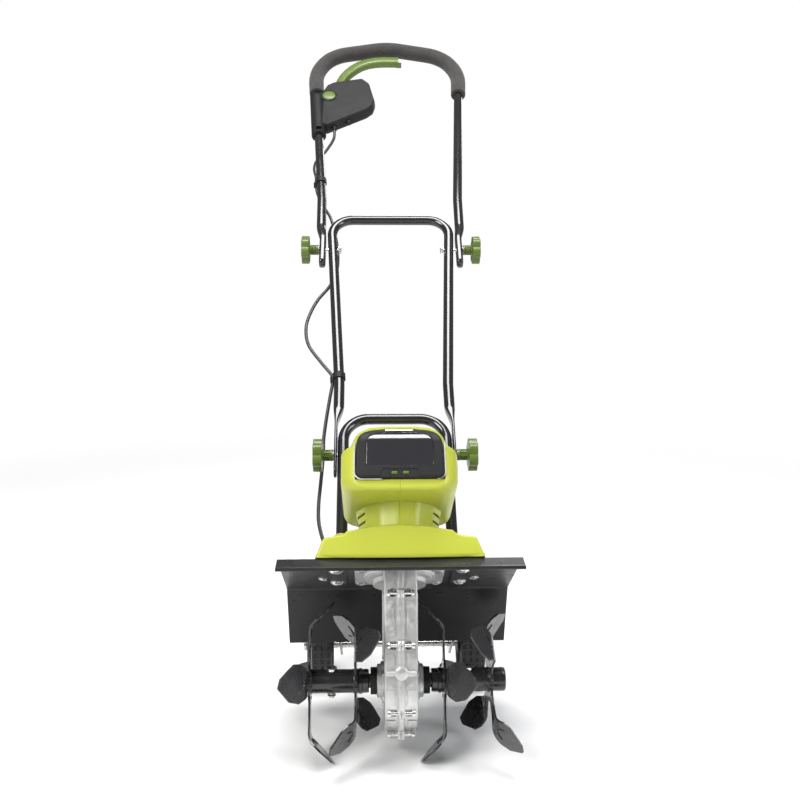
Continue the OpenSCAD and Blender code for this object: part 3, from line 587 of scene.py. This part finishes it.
def gear_case():
    in_front = [(y, z) for y, z in BOLTS if y < -10]
    for side, name in ((-1, "left"), (1, "right")):
        def span(a, b):
            return (min(side * a, side * b), max(side * a, side * b))

        body = prism("body", case_line(0), *span(0.25, CASE_HALF), "x", LEG, 2.4)
        near, far = span(6.5, 14.5)
        recesses = [box("tool", (near, y - 14, z - 5.5), (far, y + 9, z + 5.5), LEG, 1.5)
                    for y, z in in_front]
        parts = [cut(body, *recesses)]
        parts.append(prism("flange", case_line(3.2), *span(0.25, 5), "x", LEG, 0.9))
        for y, z in BOLTS:
            parts.append(drum("boss", "x", *span(0.25, 4.5), 8, LEG, (0, y, z), 0.8, 32))
            if (y, z) not in in_front:
                parts.append(drum("boss", "x", *span(0.3, 15), 7, LEG, (0, y, z), 0.8, 32))
        for z0, z1 in ((146, 184), (76, 126), (20, 54), (-16, 8), (-54, -38)):
            parts.append(front_pad(*span(8.5, 21.5), z0, z1, 1.1))
        sleeve = [(22, 23.5), (31.8, 23.5), (33.2, 22.4), (33.5, 21.2), (33.5, 14), (22, 14)]
        collar = [(22, 27), (27.2, 27), (28, 26.2), (28, 20), (22, 20)]
        for profile in (sleeve, collar):
            parts.append(lathe("hub", [(side * s, r) for s, r in profile], "x", LEG, closed=True))
        for k in range(6):
            a = math.tau * (k + 0.5) / 6
            centre = (0, 34 * math.cos(a), 34 * math.sin(a))
            parts.append(drum("stud", "x", *span(22, 26), 3.4, LEG, centre, 0.7, 20))
        for y, z0, z1 in ((-20, 40, 130), (0, 32, 132), (20, 40, 130)):
            parts.append(prism("rib", fillet([(y - 2, z0), (y + 2, z0), (y + 2, z1), (y - 2, z1)], 1.4, 3),
                               *span(20, 25.4), "x", LEG, 0.8))
        piece = together("case_" + name, *parts)
        dress(under_plate(piece), "cast_aluminium", "base", "gear_case_" + name)
    ridge = prism("ridge", case_line(5.2), -3.8, 3.8, "x", LEG, 1.2)
    button = [(-75.4, 0.5), (-75.2, 6.5), (-73.6, 9.2), (-68, 9.8), (-50, 9.8)]
    boss = lathe("boss", button, "y", LEG, (0, 0, 30), 40)
    bar = box("bar", (-22, -71.4, 25.5), (22, -60, 32), LEG, 1.6)
    dress(under_plate(together("case_seam", ridge, boss, bar)), "cast_aluminium", "base")


def flange():
    square = fillet([(-65, -52), (65, -52), (65, 52), (-65, 52)], 9)
    plate = prism("plate", square, -FLANGE_UNDER, -PLATE_UNDER, "z", HEAD, 1.2)
    steps = [(-23.5, 0.5), (-23.5, 36), (-22.6, 38.4), (-17, 40.2), (-16.2, 42), (-15.6, 46), (-14.4, 47.6),
             (-10.5, 48.2), (-7, 48.6)]
    boss = lathe("boss", steps, "z", HEAD, n=96)
    ring = [(-12.4, 47.6), (-12.4, 50.4), (-11, 51.6), (-7, 52), (-7, 47.6)]
    groove = lathe("ring", ring, "z", HEAD, n=96, closed=True)
    dress(together("flange_plate", plate, boss, groove), "cast_aluminium", "base", "motor_flange")
    pad_x, pad_under = 92, PLATE_UNDER + 2.5
    pads = []
    for x in (-pad_x, pad_x):
        patch = fillet([(x - 15, -40), (x + 15, -40), (x + 15, 66), (x - 15, 66)], 6)
        pads.append(prism("pad", patch, -pad_under, -PLATE_UNDER, "z", HEAD, 0.8))
    dress(together("guard_pads", *pads), "guard_black", "base")
    screws = []
    for x, y, size, under in ((pad_x, -14, 6, pad_under), (pad_x, 50, 6, pad_under),
                              (112, 38, 4, PLATE_UNDER), (56, -20, 3.5, FLANGE_UNDER + 0.1),
                              (56, 45, 3.5, FLANGE_UNDER + 0.1)):
        r = size * 1.15 + 2
        head = [(-under - size * 0.75, 0.5), (-under - size * 0.72, r * 0.45), (-under - size * 0.5, r * 0.8),
                (-under - 1.2, r), (-under - 0.2, r), (-under + 0.6, r * 0.9)]
        for side in (-1, 1):
            centre = (side * x, y, 0)
            screws.append(lathe("screw", head, "z", HEAD, centre, 32))
            screws.append(drum("washer", "z", -under - 0.9, -under + 0.3, r + 1.8, HEAD, centre, 0.3, 32))
    dress(together("screw_heads", *screws), "zinc_steel", "base", "guard_screws")


# Tines: stamped plates with blades bent out of their plane
def folded(along, off, lean):
    """Where a point of a flat arm lies once its blade is bent by 45 degrees: (across, along)."""
    start = TINE_BEND - 7
    total = math.radians(45) * lean
    past = along - start
    if past <= 0:
        return off, along
    part = min(past, FOLD_REACH)
    a = total * part / FOLD_REACH
    r = FOLD_REACH / total
    straight = max(0, past - FOLD_REACH)
    far = r * math.sin(a) + straight * math.cos(total)
    across = r * (1 - math.cos(a)) + straight * math.sin(total)
    return across + off * math.cos(a), start + far - off * math.sin(a)


def blade_arm(x, turn, lean, thick=3.0):
    """One arm with its blade, bent to the side that lean says, and the crescent pressed across its bend."""
    side = [(-13, 16), (-10.5, 34), (-10.5, 50), (-19, TINE_BEND - 2), (-26, TINE_BEND + 13),
            (-23, TINE_BEND + BLADE * 0.6), (-5, TINE_BEND + BLADE), (8, TINE_BEND + BLADE * 0.92),
            (26, TINE_BEND + BLADE * 0.46), (26, TINE_BEND + 12), (19, TINE_BEND - 2), (10.5, 50), (10.5, 34),
            (13, 16)]
    radii = [0, 20, 16, 10, 3, 4, 3, 3, 4, 3, 10, 16, 20, 0]
    plate = prism("arm", fillet(side, radii, 4), -thick / 2, thick / 2, "x", Matrix(), 0.7, 2)
    work = bmesh.new()
    work.from_mesh(plate.data)
    for k in range(9):
        slice_at(work, (0, 0, TINE_BEND - 7 + 1.75 * k), (0, 0, 1))
    for v in work.verts:
        v.co.x, v.co.z = folded(v.co.z, v.co.x, lean)
    place = MACHINE @ Matrix.Translation((x, 0, 0)) @ Matrix.Rotation(math.radians(turn), 4, "X")
    work.to_mesh(plate.data)
    work.free()
    plate.data.transform(place)
    rib = []
    for k in range(13):
        t = -1 + 2 * k / 12
        z = TINE_BEND + 15 - 11 * (1 - t * t)
        width = 1.9 * math.sqrt(max(0.03, 1 - t * t))
        loop = []
        for q in range(10):
            b = math.tau * q / 10
            across, along = folded(z, (thick / 2 + 0.5) * math.cos(b) * 1.25, lean)
            loop.append((across, 11.5 * t, along + width * math.sin(b)))
        rib.append(loop)
    return plate, rings("rib", rib, place)


def tine_plates():
    steep, shallow = 57, 22
    for name, x, first, flips in (("left_outer", -130, shallow, (-1, 1, -1, 1)),
                                  ("left_inner", -64, steep, (1, -1, 1, -1)),
                                  ("right_outer", 130, steep, (-1, 1, -1, 1)),
                                  ("right_inner", 64, shallow, (1, -1, 1, -1))):
        parts = []
        for k in range(4):
            parts += blade_arm(x, 90 - first - 90 * k, flips[k])
        line = []
        for k in range(16):
            a = math.tau * (k + 0.5) / 16 + math.radians(90 - first)
            r = 31.5 if k % 2 else 29.5
            line.append((r * math.cos(a), r * math.sin(a)))
        disc = prism("disc", fillet(line, 2, 3), x - 1.8, x + 1.8, "x", MACHINE, 0.5, 2)
        notches = []
        for k in range(4):
            turn = Matrix.Rotation(math.radians(45 - first - 90 * k), 4, "X")
            place = MACHINE @ Matrix.Translation((x, 0, 0)) @ turn
            notches.append(box("tool", (-4, -4, 26), (4, 4, 40), place))
        parts.append(cut(disc, *notches))
        parts.append(drum("weld", "x", x - 3.4, x + 3.4, 17.6, MACHINE, (0, 0, 0), 1.4, 40))
        for k in (1, 2):
            a = math.tau * k / 3 + math.radians(first)
            centre = (0, 23 * math.cos(a), 23 * math.sin(a))
            parts.append(drum("dot", "x", x - 2.6, x + 2.6, 2.6, MACHINE, centre, 0.6, 20))
        dress(together("tines_" + name, *parts), "tine_black", "tines", "tine_plate_" + name, soft=30)
    profile = [(45, 11), (45, 15.4), (46.2, HUB_R), (54, HUB_R), (55, 17.8), (59, 17.8), (60, HUB_R),
               (93, HUB_R), (94, 17.2), (104, 17.2), (105, HUB_R), (136, HUB_R), (150.6, HUB_R), (152, 15.2),
               (152, 11)]
    for side, name in ((-1, "left"), (1, "right")):
        hub = lathe("hub_tube_" + name, [(side * s, r) for s, r in profile], "x", MACHINE, closed=True, n=72)
        dress(hub, "tine_black", "tines", "tine_hub_" + name)


# Handle tubes
def stations(path, steps=10):
    """Stations (x, z, way x, way z) along a line with round corners; path holds (x, z, corner radius)."""
    pts = [Vector(p[:2]) for p in path]
    ways = [(b - a).normalized() for a, b in zip(pts, pts[1:])]
    out = [(*pts[0], *ways[0])]
    for i in range(1, len(pts) - 1):
        w0, w1 = ways[i - 1], ways[i]
        bend = math.atan2(w0.x * w1.y - w0.y * w1.x, w0.dot(w1))
        left = 1 if bend > 0 else -1
        r = path[i][2]
        start = pts[i] - w0 * r * math.tan(abs(bend) / 2)
        centre = start + Vector((-w0.y, w0.x)) * r * left
        count = max(3, int(abs(math.degrees(bend)) / 6))
        for k in range(count + 1):
            turn = Matrix.Rotation(bend * k / count, 2)
            p, d = centre + turn @ (start - centre), turn @ w0
            out.append((*p, *d))
    out.append((*pts[-1], *ways[-1]))
    return out


def tube(name, rows, place):
    """A tube through rows of (x, z, way x, way z, half width, half depth), squarer where it is flattened."""
    loops = []
    for x, z, dx, dz, hx, hy in rows:
        power = 1.0 if abs(hx - hy) < 0.5 else 0.62
        loop = []
        for k in range(32):
            a = math.tau * k / 32
            c = math.copysign(abs(math.cos(a)) ** power, math.cos(a))
            s = math.copysign(abs(math.sin(a)) ** power, math.sin(a))
            loop.append((x - hx * c * dz, hy * s, z + hx * c * dx))
        loops.append(loop)
    return rings(name, loops, place)


def with_flat_ends(middle, flat_x, half, low, taper, leg, top):
    """Adds a leg's flattened end to both ends of a loop: its round tip, flat and taper to the round leg."""
    wide = 12
    rows = []
    for k in range(7):
        a = math.pi / 2 * k / 6
        rows.append((flat_x, low - wide * math.cos(a), max(2.0, half * (0.7 + 0.3 * math.sin(a))),
                     max(0.8, wide * math.sin(a))))
    rows.append((flat_x, taper, half, wide))
    for k in range(1, 9):
        t = k / 8
        s = t * t * (3 - 2 * t)
        rows.append((flat_x + (leg - flat_x) * s, taper + (top - taper) * t, half + (TUBE_R - half) * s,
                     wide + (TUBE_R - wide) * s))
    up = [(-x, z, 0, 1, hx, hy) for x, z, hx, hy in rows]
    down = [(x, z, 0, -1, hx, hy) for x, z, hx, hy in reversed(rows)]
    return up + middle + down


def round_rows(path, r=TUBE_R):
    return [(*s, r, r) for s in stations(path)]


def loop_path(half):
    """A whole loop from the corners (x, z, radius) of its left half."""
    return half + [(-x, z, r) for x, z, r in reversed(half)]


# Corners of the upper loop above its legs, which the foam grip follows
GRIP_BEND = [(-168, 1055, 120), (-130, 1120, 84), (-14, 1148, 110)]


def tubes():
    lower = round_rows(loop_path([(-LOWER_LEG, LOWER_END, 0), (-LOWER_LEG, 73, 44)]))
    dress(tube("lower_loop", lower, HANDLE), "tube_black", "base", "lower_tube", soft=50)
    middle = round_rows(loop_path([(-97, 101, 0), (-97, 146, 120), (-120, 563, 42)]))
    rows = with_flat_ends(middle, 100.8, 3, -30, 60, 97, 100)
    dress(tube("middle_loop", rows, HANDLE), "tube_black", "middle_handle", "middle_tube", soft=50)
    upper = round_rows(loop_path([(-140.5, 546, 0), (-141.5, 624, 200)] + GRIP_BEND))
    rows = with_flat_ends(upper, 136, 6.5, 447, 505, 140.5, 545)
    dress(tube("upper_loop", rows, HANDLE), "tube_black", "upper_handle", "upper_tube", soft=50)


def foam():
    end_x = 163.2
    rows = stations(loop_path([(-end_x, GRIP_END, 0)] + GRIP_BEND))

    def shifted(row, d):
        return (row[0] + row[2] * d, row[1] + row[3] * d, row[2], row[3])

    ends = [(0.0, 14.6), (0.5, 16.0), (1.6, 16.8)]
    first = [(*shifted(rows[0], d), r, r) for d, r in ends]
    last = [(*shifted(rows[-1], -d), r, r) for d, r in reversed(ends)]
    middle = [(*row, GRIP_R, GRIP_R) for row in rows[1:-1]]
    sleeve = tube("grip_sleeve", first + middle + last, HANDLE)
    dress(sleeve, "foam", "upper_handle", "foam_grip", soft=60)
    profile = [(0, 9.8), (-0.9, 10.6), (-0.9, 13.6), (0, 14.6), (2, 14.6), (2, 9.8)]
    lips = []
    for side in (-1, 1):
        lean = Matrix.Rotation(math.radians(side * 3.5), 4, "Y")
        place = HANDLE @ Matrix.Translation((side * end_x, 0, GRIP_END)) @ lean
        lips.append(lathe("lip", profile, "z", place, closed=True))
    dress(together("grip_lips", *lips), "foam", "upper_handle")


# Star knobs
def knob(name, side, face, z):
    """A star knob on the bolt at station z, standing on the tube's outer face."""
    line = []
    for k in range(72):
        a = math.tau * k / 72
        wave = 0.5 + 0.5 * math.cos(6 * a)
        r = 23.4 + 4.4 * wave ** 0.5
        line.append((r * math.cos(a), z + r * math.sin(a)))
    x0 = face + 1.5
    a, b = sorted((side * (x0 + 18), side * (x0 + 33)))
    star = prism("star", line, a, b, "x", HANDLE, 1.1)
    stem = [(0, 6.4), (0, 9.4), (1.2, 10), (4, 10), (5, 8.4), (15, 8.4), (17, 10.4), (19, 12), (19, 6.4)]
    neck = lathe("stem", [(side * (x0 + s), r) for s, r in stem], "x", HANDLE, (0, 0, z), 48, closed=True)
    dome = [(32.2, 0.5), (32.2, 11), (33.4, 10.4), (33.9, 8), (34, 0.5)]
    cap = lathe("cap", [(side * (x0 + s), r) for s, r in dome], "x", HANDLE, (0, 0, z), 40)
    ribs = []
    for k in range(8):
        turn = HANDLE @ Matrix.Translation((0, 0, z)) @ Matrix.Rotation(math.tau * k / 8, 4, "X")
        p, q = sorted((side * (x0 + 5), side * (x0 + 17)))
        ribs.append(box("rib", (p, -0.7, 7.5), (q, 0.7, 9.6), turn, 0.3))
    dress(together(name + "_star", star, neck, cap, *ribs), "leaf_plastic", name, name)


# Switch box on the left leg, with its green button and bail lever
LEG_SLOPE = 26.5 / 431


def leg_x(z):
    """How far left the upper loop's left leg is at station z."""
    return -(141.5 + (z - 624) * LEG_SLOPE)


def switch_sleeve():
    """The ribbed sleeve round the leg, with two windows that show the tube."""
    half, r, middle = 71, 16.2, 897
    lean = Matrix.Rotation(-math.atan(LEG_SLOPE), 4, "Y")
    place = HANDLE @ Matrix.Translation((leg_x(middle), 0, middle)) @ lean
    bore = TUBE_R + 0.4
    profile = [(-half, bore), (-half, r - 1.6), (1.6 - half, r), (half - 2, r), (half - 0.4, r - 1.6),
               (half - 0.4, bore)]
    sleeve = lathe("sleeve", profile, "z", place, n=56, closed=True)
    ribs = []
    for k in range(7):
        turn = place @ Matrix.Rotation(math.radians(-150 + 20 * k), 4, "Z")
        ribs.append(box("rib", (r - 0.6, -0.7, -50), (r + 0.7, 0.7, 44), turn, 0.3))
    windows = []
    for z in (962, 836):
        x = leg_x(z)
        windows.append(box("tool", (x - 5, -30, z - 6), (x + 7, -8.5, z + 6), HANDLE, 1.5))
    return [cut(sleeve, *windows), *ribs]


def switch_box():
    body = [(-152, 852), (-136, 848), (-48, 903), (-34, 918), (-29, 938), (-41, 1000), (-58, 1020),
            (-126, 1004), (-140, 994), (-150, 970)]
    outline = fillet(body, [2, 4, 8, 10, 12, 14, 12, 8, 6, 3], 5)
    front_levels = [(6, -14.6), (3.8, -14), (2.2, -12.4), (1.2, -9.5), (0.2, -1.5), (0.2, -0.25)]
    back_levels = [(0.2, 0.25), (0, 2), (0, 7), (1, 11), (3, 13), (5, 13.4)]
    front = layers("front", outline, front_levels, "y", HANDLE)
    back = layers("back", outline, back_levels, "y", HANDLE)
    well = lathe("tool", [(-22, 0.5), (-22, 16), (-11, 16), (-11, 0.5)], "y", HANDLE, BUTTON_AT, 48)
    for half, tools in ((front, [well]), (back, [])):
        slot = box("tool", (-124, -9.4, 985), (-64, 9.4, 1030), HANDLE)
        gland = drum("tool", "z", 830, 866, 5.1, HANDLE, GLAND_AT)
        cut(half, *tools, slot, gland)
    shell = together("switch_front", front, *switch_sleeve())
    dress(shell, "black_plastic", "upper_handle", "switch_box_right")
    dress(back, "black_plastic", "upper_handle", "switch_box_left")
    rim = [(-12, 15.9), (-15.8, 16), (-16.4, 16.8), (-16, 18.6), (-13, 19.6), (-12, 19.6)]
    ring = lathe("well_ring", rim, "y", HANDLE, BUTTON_AT, 56, closed=True)
    turn = Matrix.Translation((-88, 0, 874)) @ Matrix.Rotation(math.radians(-32), 4, "Y")
    boss = lathe("boss", [(-4, 0.5), (-4, 4.4), (-2.6, 5.6), (8, 5.6), (8, 0.5)], "z", HANDLE @ turn, n=32)
    dress(together("switch_details", ring, boss), "black_plastic", "upper_handle")
    head = [(12.9, 0.5), (13.9, 0.6), (13.9, 3.2), (13.2, 3.8), (12, 3.8)]
    places = ((-50, 930), (-118, 882), (-62, 1004))
    screws = [lathe("screw", head, "y", HANDLE, (x, 0, z), 24) for x, z in places]
    dress(together("switch_screws", *screws), "zinc_steel", "upper_handle")
    dome = [(-18, 0.5), (-17.9, 8), (-17.3, 12.6), (-16.2, 14.8), (-14, 15.5), (-11, 15.5)]
    dress(lathe("button_cap", dome, "y", HANDLE, BUTTON_AT, 56), "leaf_plastic", "button", "safety_button")


def lever():
    """A closed channel that follows the grip from its pivot in the switch box to an open end."""
    path = [(-112, 1000), (-109, 1016), (-102, 1034), (-92, 1051), (-79, 1068), (-64, 1082), (-46, 1092),
            (-28, 1097), (-8, 1099), (14, 1099), (27, 1099)]
    rows = []
    for i, p in enumerate(path):
        a, b = Vector(path[max(i - 1, 0)]), Vector(path[min(i + 1, len(path) - 1)])
        way = (b - a).normalized()
        rows.append((*p, *way, 10 + 2 * min(1, i / 4), 9.4))
    channel = tube("lever_channel", rows, HANDLE)
    cut(channel, box("tool", (2, -7.6, 1089.5), (40, 7.6, 1108.5), HANDLE, 2))
    heel = fillet([(-120, 1000), (-118, 996), (-103, 996), (-100, 1014), (-106, 1020), (-118, 1014)], 3)
    foot = prism("foot", heel, -8.4, 8.4, "y", HANDLE, 1)
    lip = box("lip", (22, -7, 1086.6), (34, 7, 1089.4), HANDLE, 0.8)
    dress(together("lever_channel", channel, foot, lip), "leaf_plastic", "lever", "bail_lever", soft=50)


# Wheels: a ribbed tyre, a flat disc with spokes, and a hub
def wheels():
    half_tread = [(-20, 48), (-20, 58), (-18, 60.2), (-14, 60.8), (-13, 61.8), (-8, 61.8), (-7, 60.6),
                  (-4, 60.6), (-3, 62.4)]
    tyre = half_tread + [(-x, r) for x, r in reversed(half_tread)] + [(18, 46.5), (-18, 46.5)]
    disc = [(-5, 14), (-5, 48), (5, 48), (5, 14)]
    hub = [(-22, 6.3), (-22, 14.8), (-20.8, 16), (20.8, 16), (22, 14.8), (22, 6.3)]
    for side, name in ((-1, "wheel_left"), (1, "wheel_right")):
        centre = (side * WHEEL_AT.x, WHEEL_AT.y, WHEEL_AT.z)
        parts = [lathe("ring", p, "x", MACHINE, centre, 96, closed=True) for p in (tyre, disc, hub)]

        def turned(k, count):
            return MACHINE @ Matrix.Translation(centre) @ Matrix.Rotation(math.tau * k / count, 4, "X")

        parts += [box("spoke", (-17, -1.8, 14), (17, 1.8, 48), turned(k, 8), 1.0) for k in range(8)]
        parts += [box("tread", (-19, -1.9, 57), (19, 1.9, 62.2), turned(k, 36), 0.7) for k in range(36)]
        dress(together(name + "_tyre", *parts), "wheel_black", name, name)


# Cable, in two lengths that meet in the clip on the middle tube
UPPER_RUN = [(-120, 0, 860), (-120, 0, 847), (-122, 6, 824), (-138, 18, 800), (-158, 20, 768),
             (-162, 14, 735), (-157, 9, 704), (-155.9, 9, 684), (-155.1, 9, 672), (-152, 10, 652),
             (-140, 15, 622), (-124, 18, 590), (-114, 18, 546)]
MIDDLE_RUN = [(-108, 18, 505), (-106, 18, 470), (-108, 18, 440), (-120, 18, 400), (-142, 14, 360),
              (-156, 10, 320), (-162, 9, 285), (-156, 9, 245), (-132, 9, 205), (-112, 9, 176),
              (-109.9, 9, 164)]
LOWER_RUN = [(-109.9, 9, 164), (-110, 9, 152), (-114, 12, 125), (-120, 25, 88), (-124, 36, 55),
             (-124, 38, 31), (-125, 39, 0), (-127, 36, -40), (-128, 24, -80), (-126, 8, -120),
             (-119, -8, -155), (-111, -19, -181), (-108, -24, -197), (-107.5, -26, -208)]


def smooth(points, n):
    """A smooth curve through the points, with n steps between each two."""
    out = []
    for i in range(len(points) - 1):
        a, b, c, d = (Vector(points[max(0, min(len(points) - 1, i + k))]) for k in (-1, 0, 1, 2))
        for k in range(n):
            u = k / n
            out.append(0.5 * (2 * b + (c - a) * u + (2 * a - 5 * b + 4 * c - d) * u ** 2
                              + (3 * b - a - 3 * c + d) * u ** 3))
    return out + [Vector(points[-1])]


def cable_piece(name, points):
    radius = 3.15
    line = smooth(points, 8)
    loops = []
    across = Vector((0, 1, 0))
    for i, p in enumerate(line):
        way = (line[min(i + 1, len(line) - 1)] - line[max(i - 1, 0)]).normalized()
        side = way.cross(across).normalized()
        other = side.cross(way)
        loops.append([p + radius * (math.cos(a) * side + math.sin(a) * other)
                      for a in (math.tau * k / 14 for k in range(14))])
    return rings(name, loops, HANDLE)


def cables():
    top = cable_piece("cable_top", UPPER_RUN + MIDDLE_RUN)
    dress(top, "cable_black", None, "cable_upper", "cable_middle", soft=60)
    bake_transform(top)
    low = cable_piece("cable_low", LOWER_RUN)
    dress(low, "cable_black", None, "cable_lower", soft=60)
    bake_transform(low)


# The CAD's own hardware, with softened edges and finishes
def hardware():
    finish = {s["node"]: s["material_slot"] for s in frame["record"]["subparts"]}
    for name, obj in frame["nodes"].items():
        if obj.hide_render:
            continue
        obj.data.materials.clear()
        obj.data.materials.append(coats[finish[name]])
        weld = obj.modifiers.new("weld", "WELD")
        weld.merge_threshold = 1e-5
        flat = obj.modifiers.new("flat", "DECIMATE")
        flat.decimate_type = "DISSOLVE"
        flat.angle_limit = math.radians(1)
        edge = obj.modifiers.new("edge", "BEVEL")
        edge.width = 0.0004
        edge.segments = 2
        edge.angle_limit = math.radians(50)
        obj.modifiers.new("even", "WEIGHTED_NORMAL").keep_sharp = True
        for p in obj.data.polygons:
            p.use_smooth = True
        obj.data.set_sharp_from_angle(angle=math.radians(40))


# Studio
def studio():
    world = bpy.data.worlds.new("studio")
    world.use_nodes = True
    nodes, links = world.node_tree.nodes, world.node_tree.links
    soft = nodes["Background"]
    soft.inputs["Color"].default_value = (0.94, 0.96, 1, 1)
    soft.inputs["Strength"].default_value = 0.2
    white = nodes.new("ShaderNodeBackground")
    white.inputs["Color"].default_value = (1, 1, 1, 1)
    seen = nodes.new("ShaderNodeLightPath")
    either = nodes.new("ShaderNodeMixShader")
    links.new(seen.outputs["Is Camera Ray"], either.inputs["Fac"])
    links.new(soft.outputs["Background"], either.inputs[1])
    links.new(white.outputs["Background"], either.inputs[2])
    links.new(either.outputs["Shader"], nodes["World Output"].inputs["Surface"])
    scene.world = world
    mesh = bpy.data.meshes.new("floor")
    half = 14
    corners = [(-half, -half, 0), (half, -half, 0), (half, half, 0), (-half, half, 0)]
    mesh.from_pydata(corners, [], [(0, 1, 2, 3)])
    floor = bpy.data.objects.new("floor", mesh)
    floor.location.z = cad_low[2] - 0.0005
    scene.collection.objects.link(floor)
    paper = coat("floor_paper", (0.9, 0.9, 0.9), 0.8, tone=0.01, mottle=3, dent=0.02)
    nodes, links = paper.node_tree.nodes, paper.node_tree.links
    spot = nodes.new("ShaderNodeTexCoord")
    far = nodes.new("ShaderNodeVectorMath")
    far.operation = "LENGTH"
    links.new(spot.outputs["Object"], far.inputs[0])
    fade = nodes.new("ShaderNodeMapRange")
    fade.interpolation_type = "SMOOTHSTEP"
    fade.inputs["From Min"].default_value = 0.9
    fade.inputs["From Max"].default_value = 2.6
    links.new(far.outputs["Value"], fade.inputs["Value"])
    glow = nodes.new("ShaderNodeEmission")
    glow.inputs["Strength"].default_value = 1.0
    either = nodes.new("ShaderNodeMixShader")
    links.new(fade.outputs["Result"], either.inputs["Fac"])
    links.new(nodes["Principled BSDF"].outputs["BSDF"], either.inputs[1])
    links.new(glow.outputs["Emission"], either.inputs[2])
    links.new(either.outputs["Shader"], nodes["Material Output"].inputs["Surface"])
    floor.data.materials.append(paper)

    def lamp(name, at_point, aim, size, power, colour=(1, 1, 1)):
        data = bpy.data.lights.new(name, "AREA")
        data.shape = "RECTANGLE"
        data.size, data.size_y = size
        data.energy = power
        data.color = colour
        obj = bpy.data.objects.new(name, data)
        obj.location = at_point
        obj.rotation_euler = (Vector(aim) - Vector(at_point)).to_track_quat("-Z", "Y").to_euler()
        scene.collection.objects.link(obj)

    lamp("key", (-2.2, -2.4, 2.6), (0, 0, 0.5), (1.6, 1.6), 118, (1, 0.99, 0.97))
    lamp("fill", (2.6, -1.8, 1.6), (0, 0, 0.5), (1.0, 2.0), 44, (0.97, 0.98, 1))
    lamp("top", (0, -0.4, 3.2), (0, -0.1, 0.5), (1.6, 1.2), 88)
    lamp("rim", (0.8, 2.8, 2.2), (0, 0, 0.6), (2.0, 1.0), 34)
    scene.view_settings.view_transform = "Standard"
    scene.view_settings.look = "None"


guard()
base_cover()
housing()
lid()
gear_case()
flange()
tine_plates()
tubes()
foam()
for level, face, station in (("lower", 103.8, 0), ("upper", 142.5, UPPER_KNOB)):
    knob("knob_" + level + "_left", -1, face, station)
    knob("knob_" + level + "_right", 1, face, station)
switch_box()
lever()
wheels()
cables()
hardware()
studio()
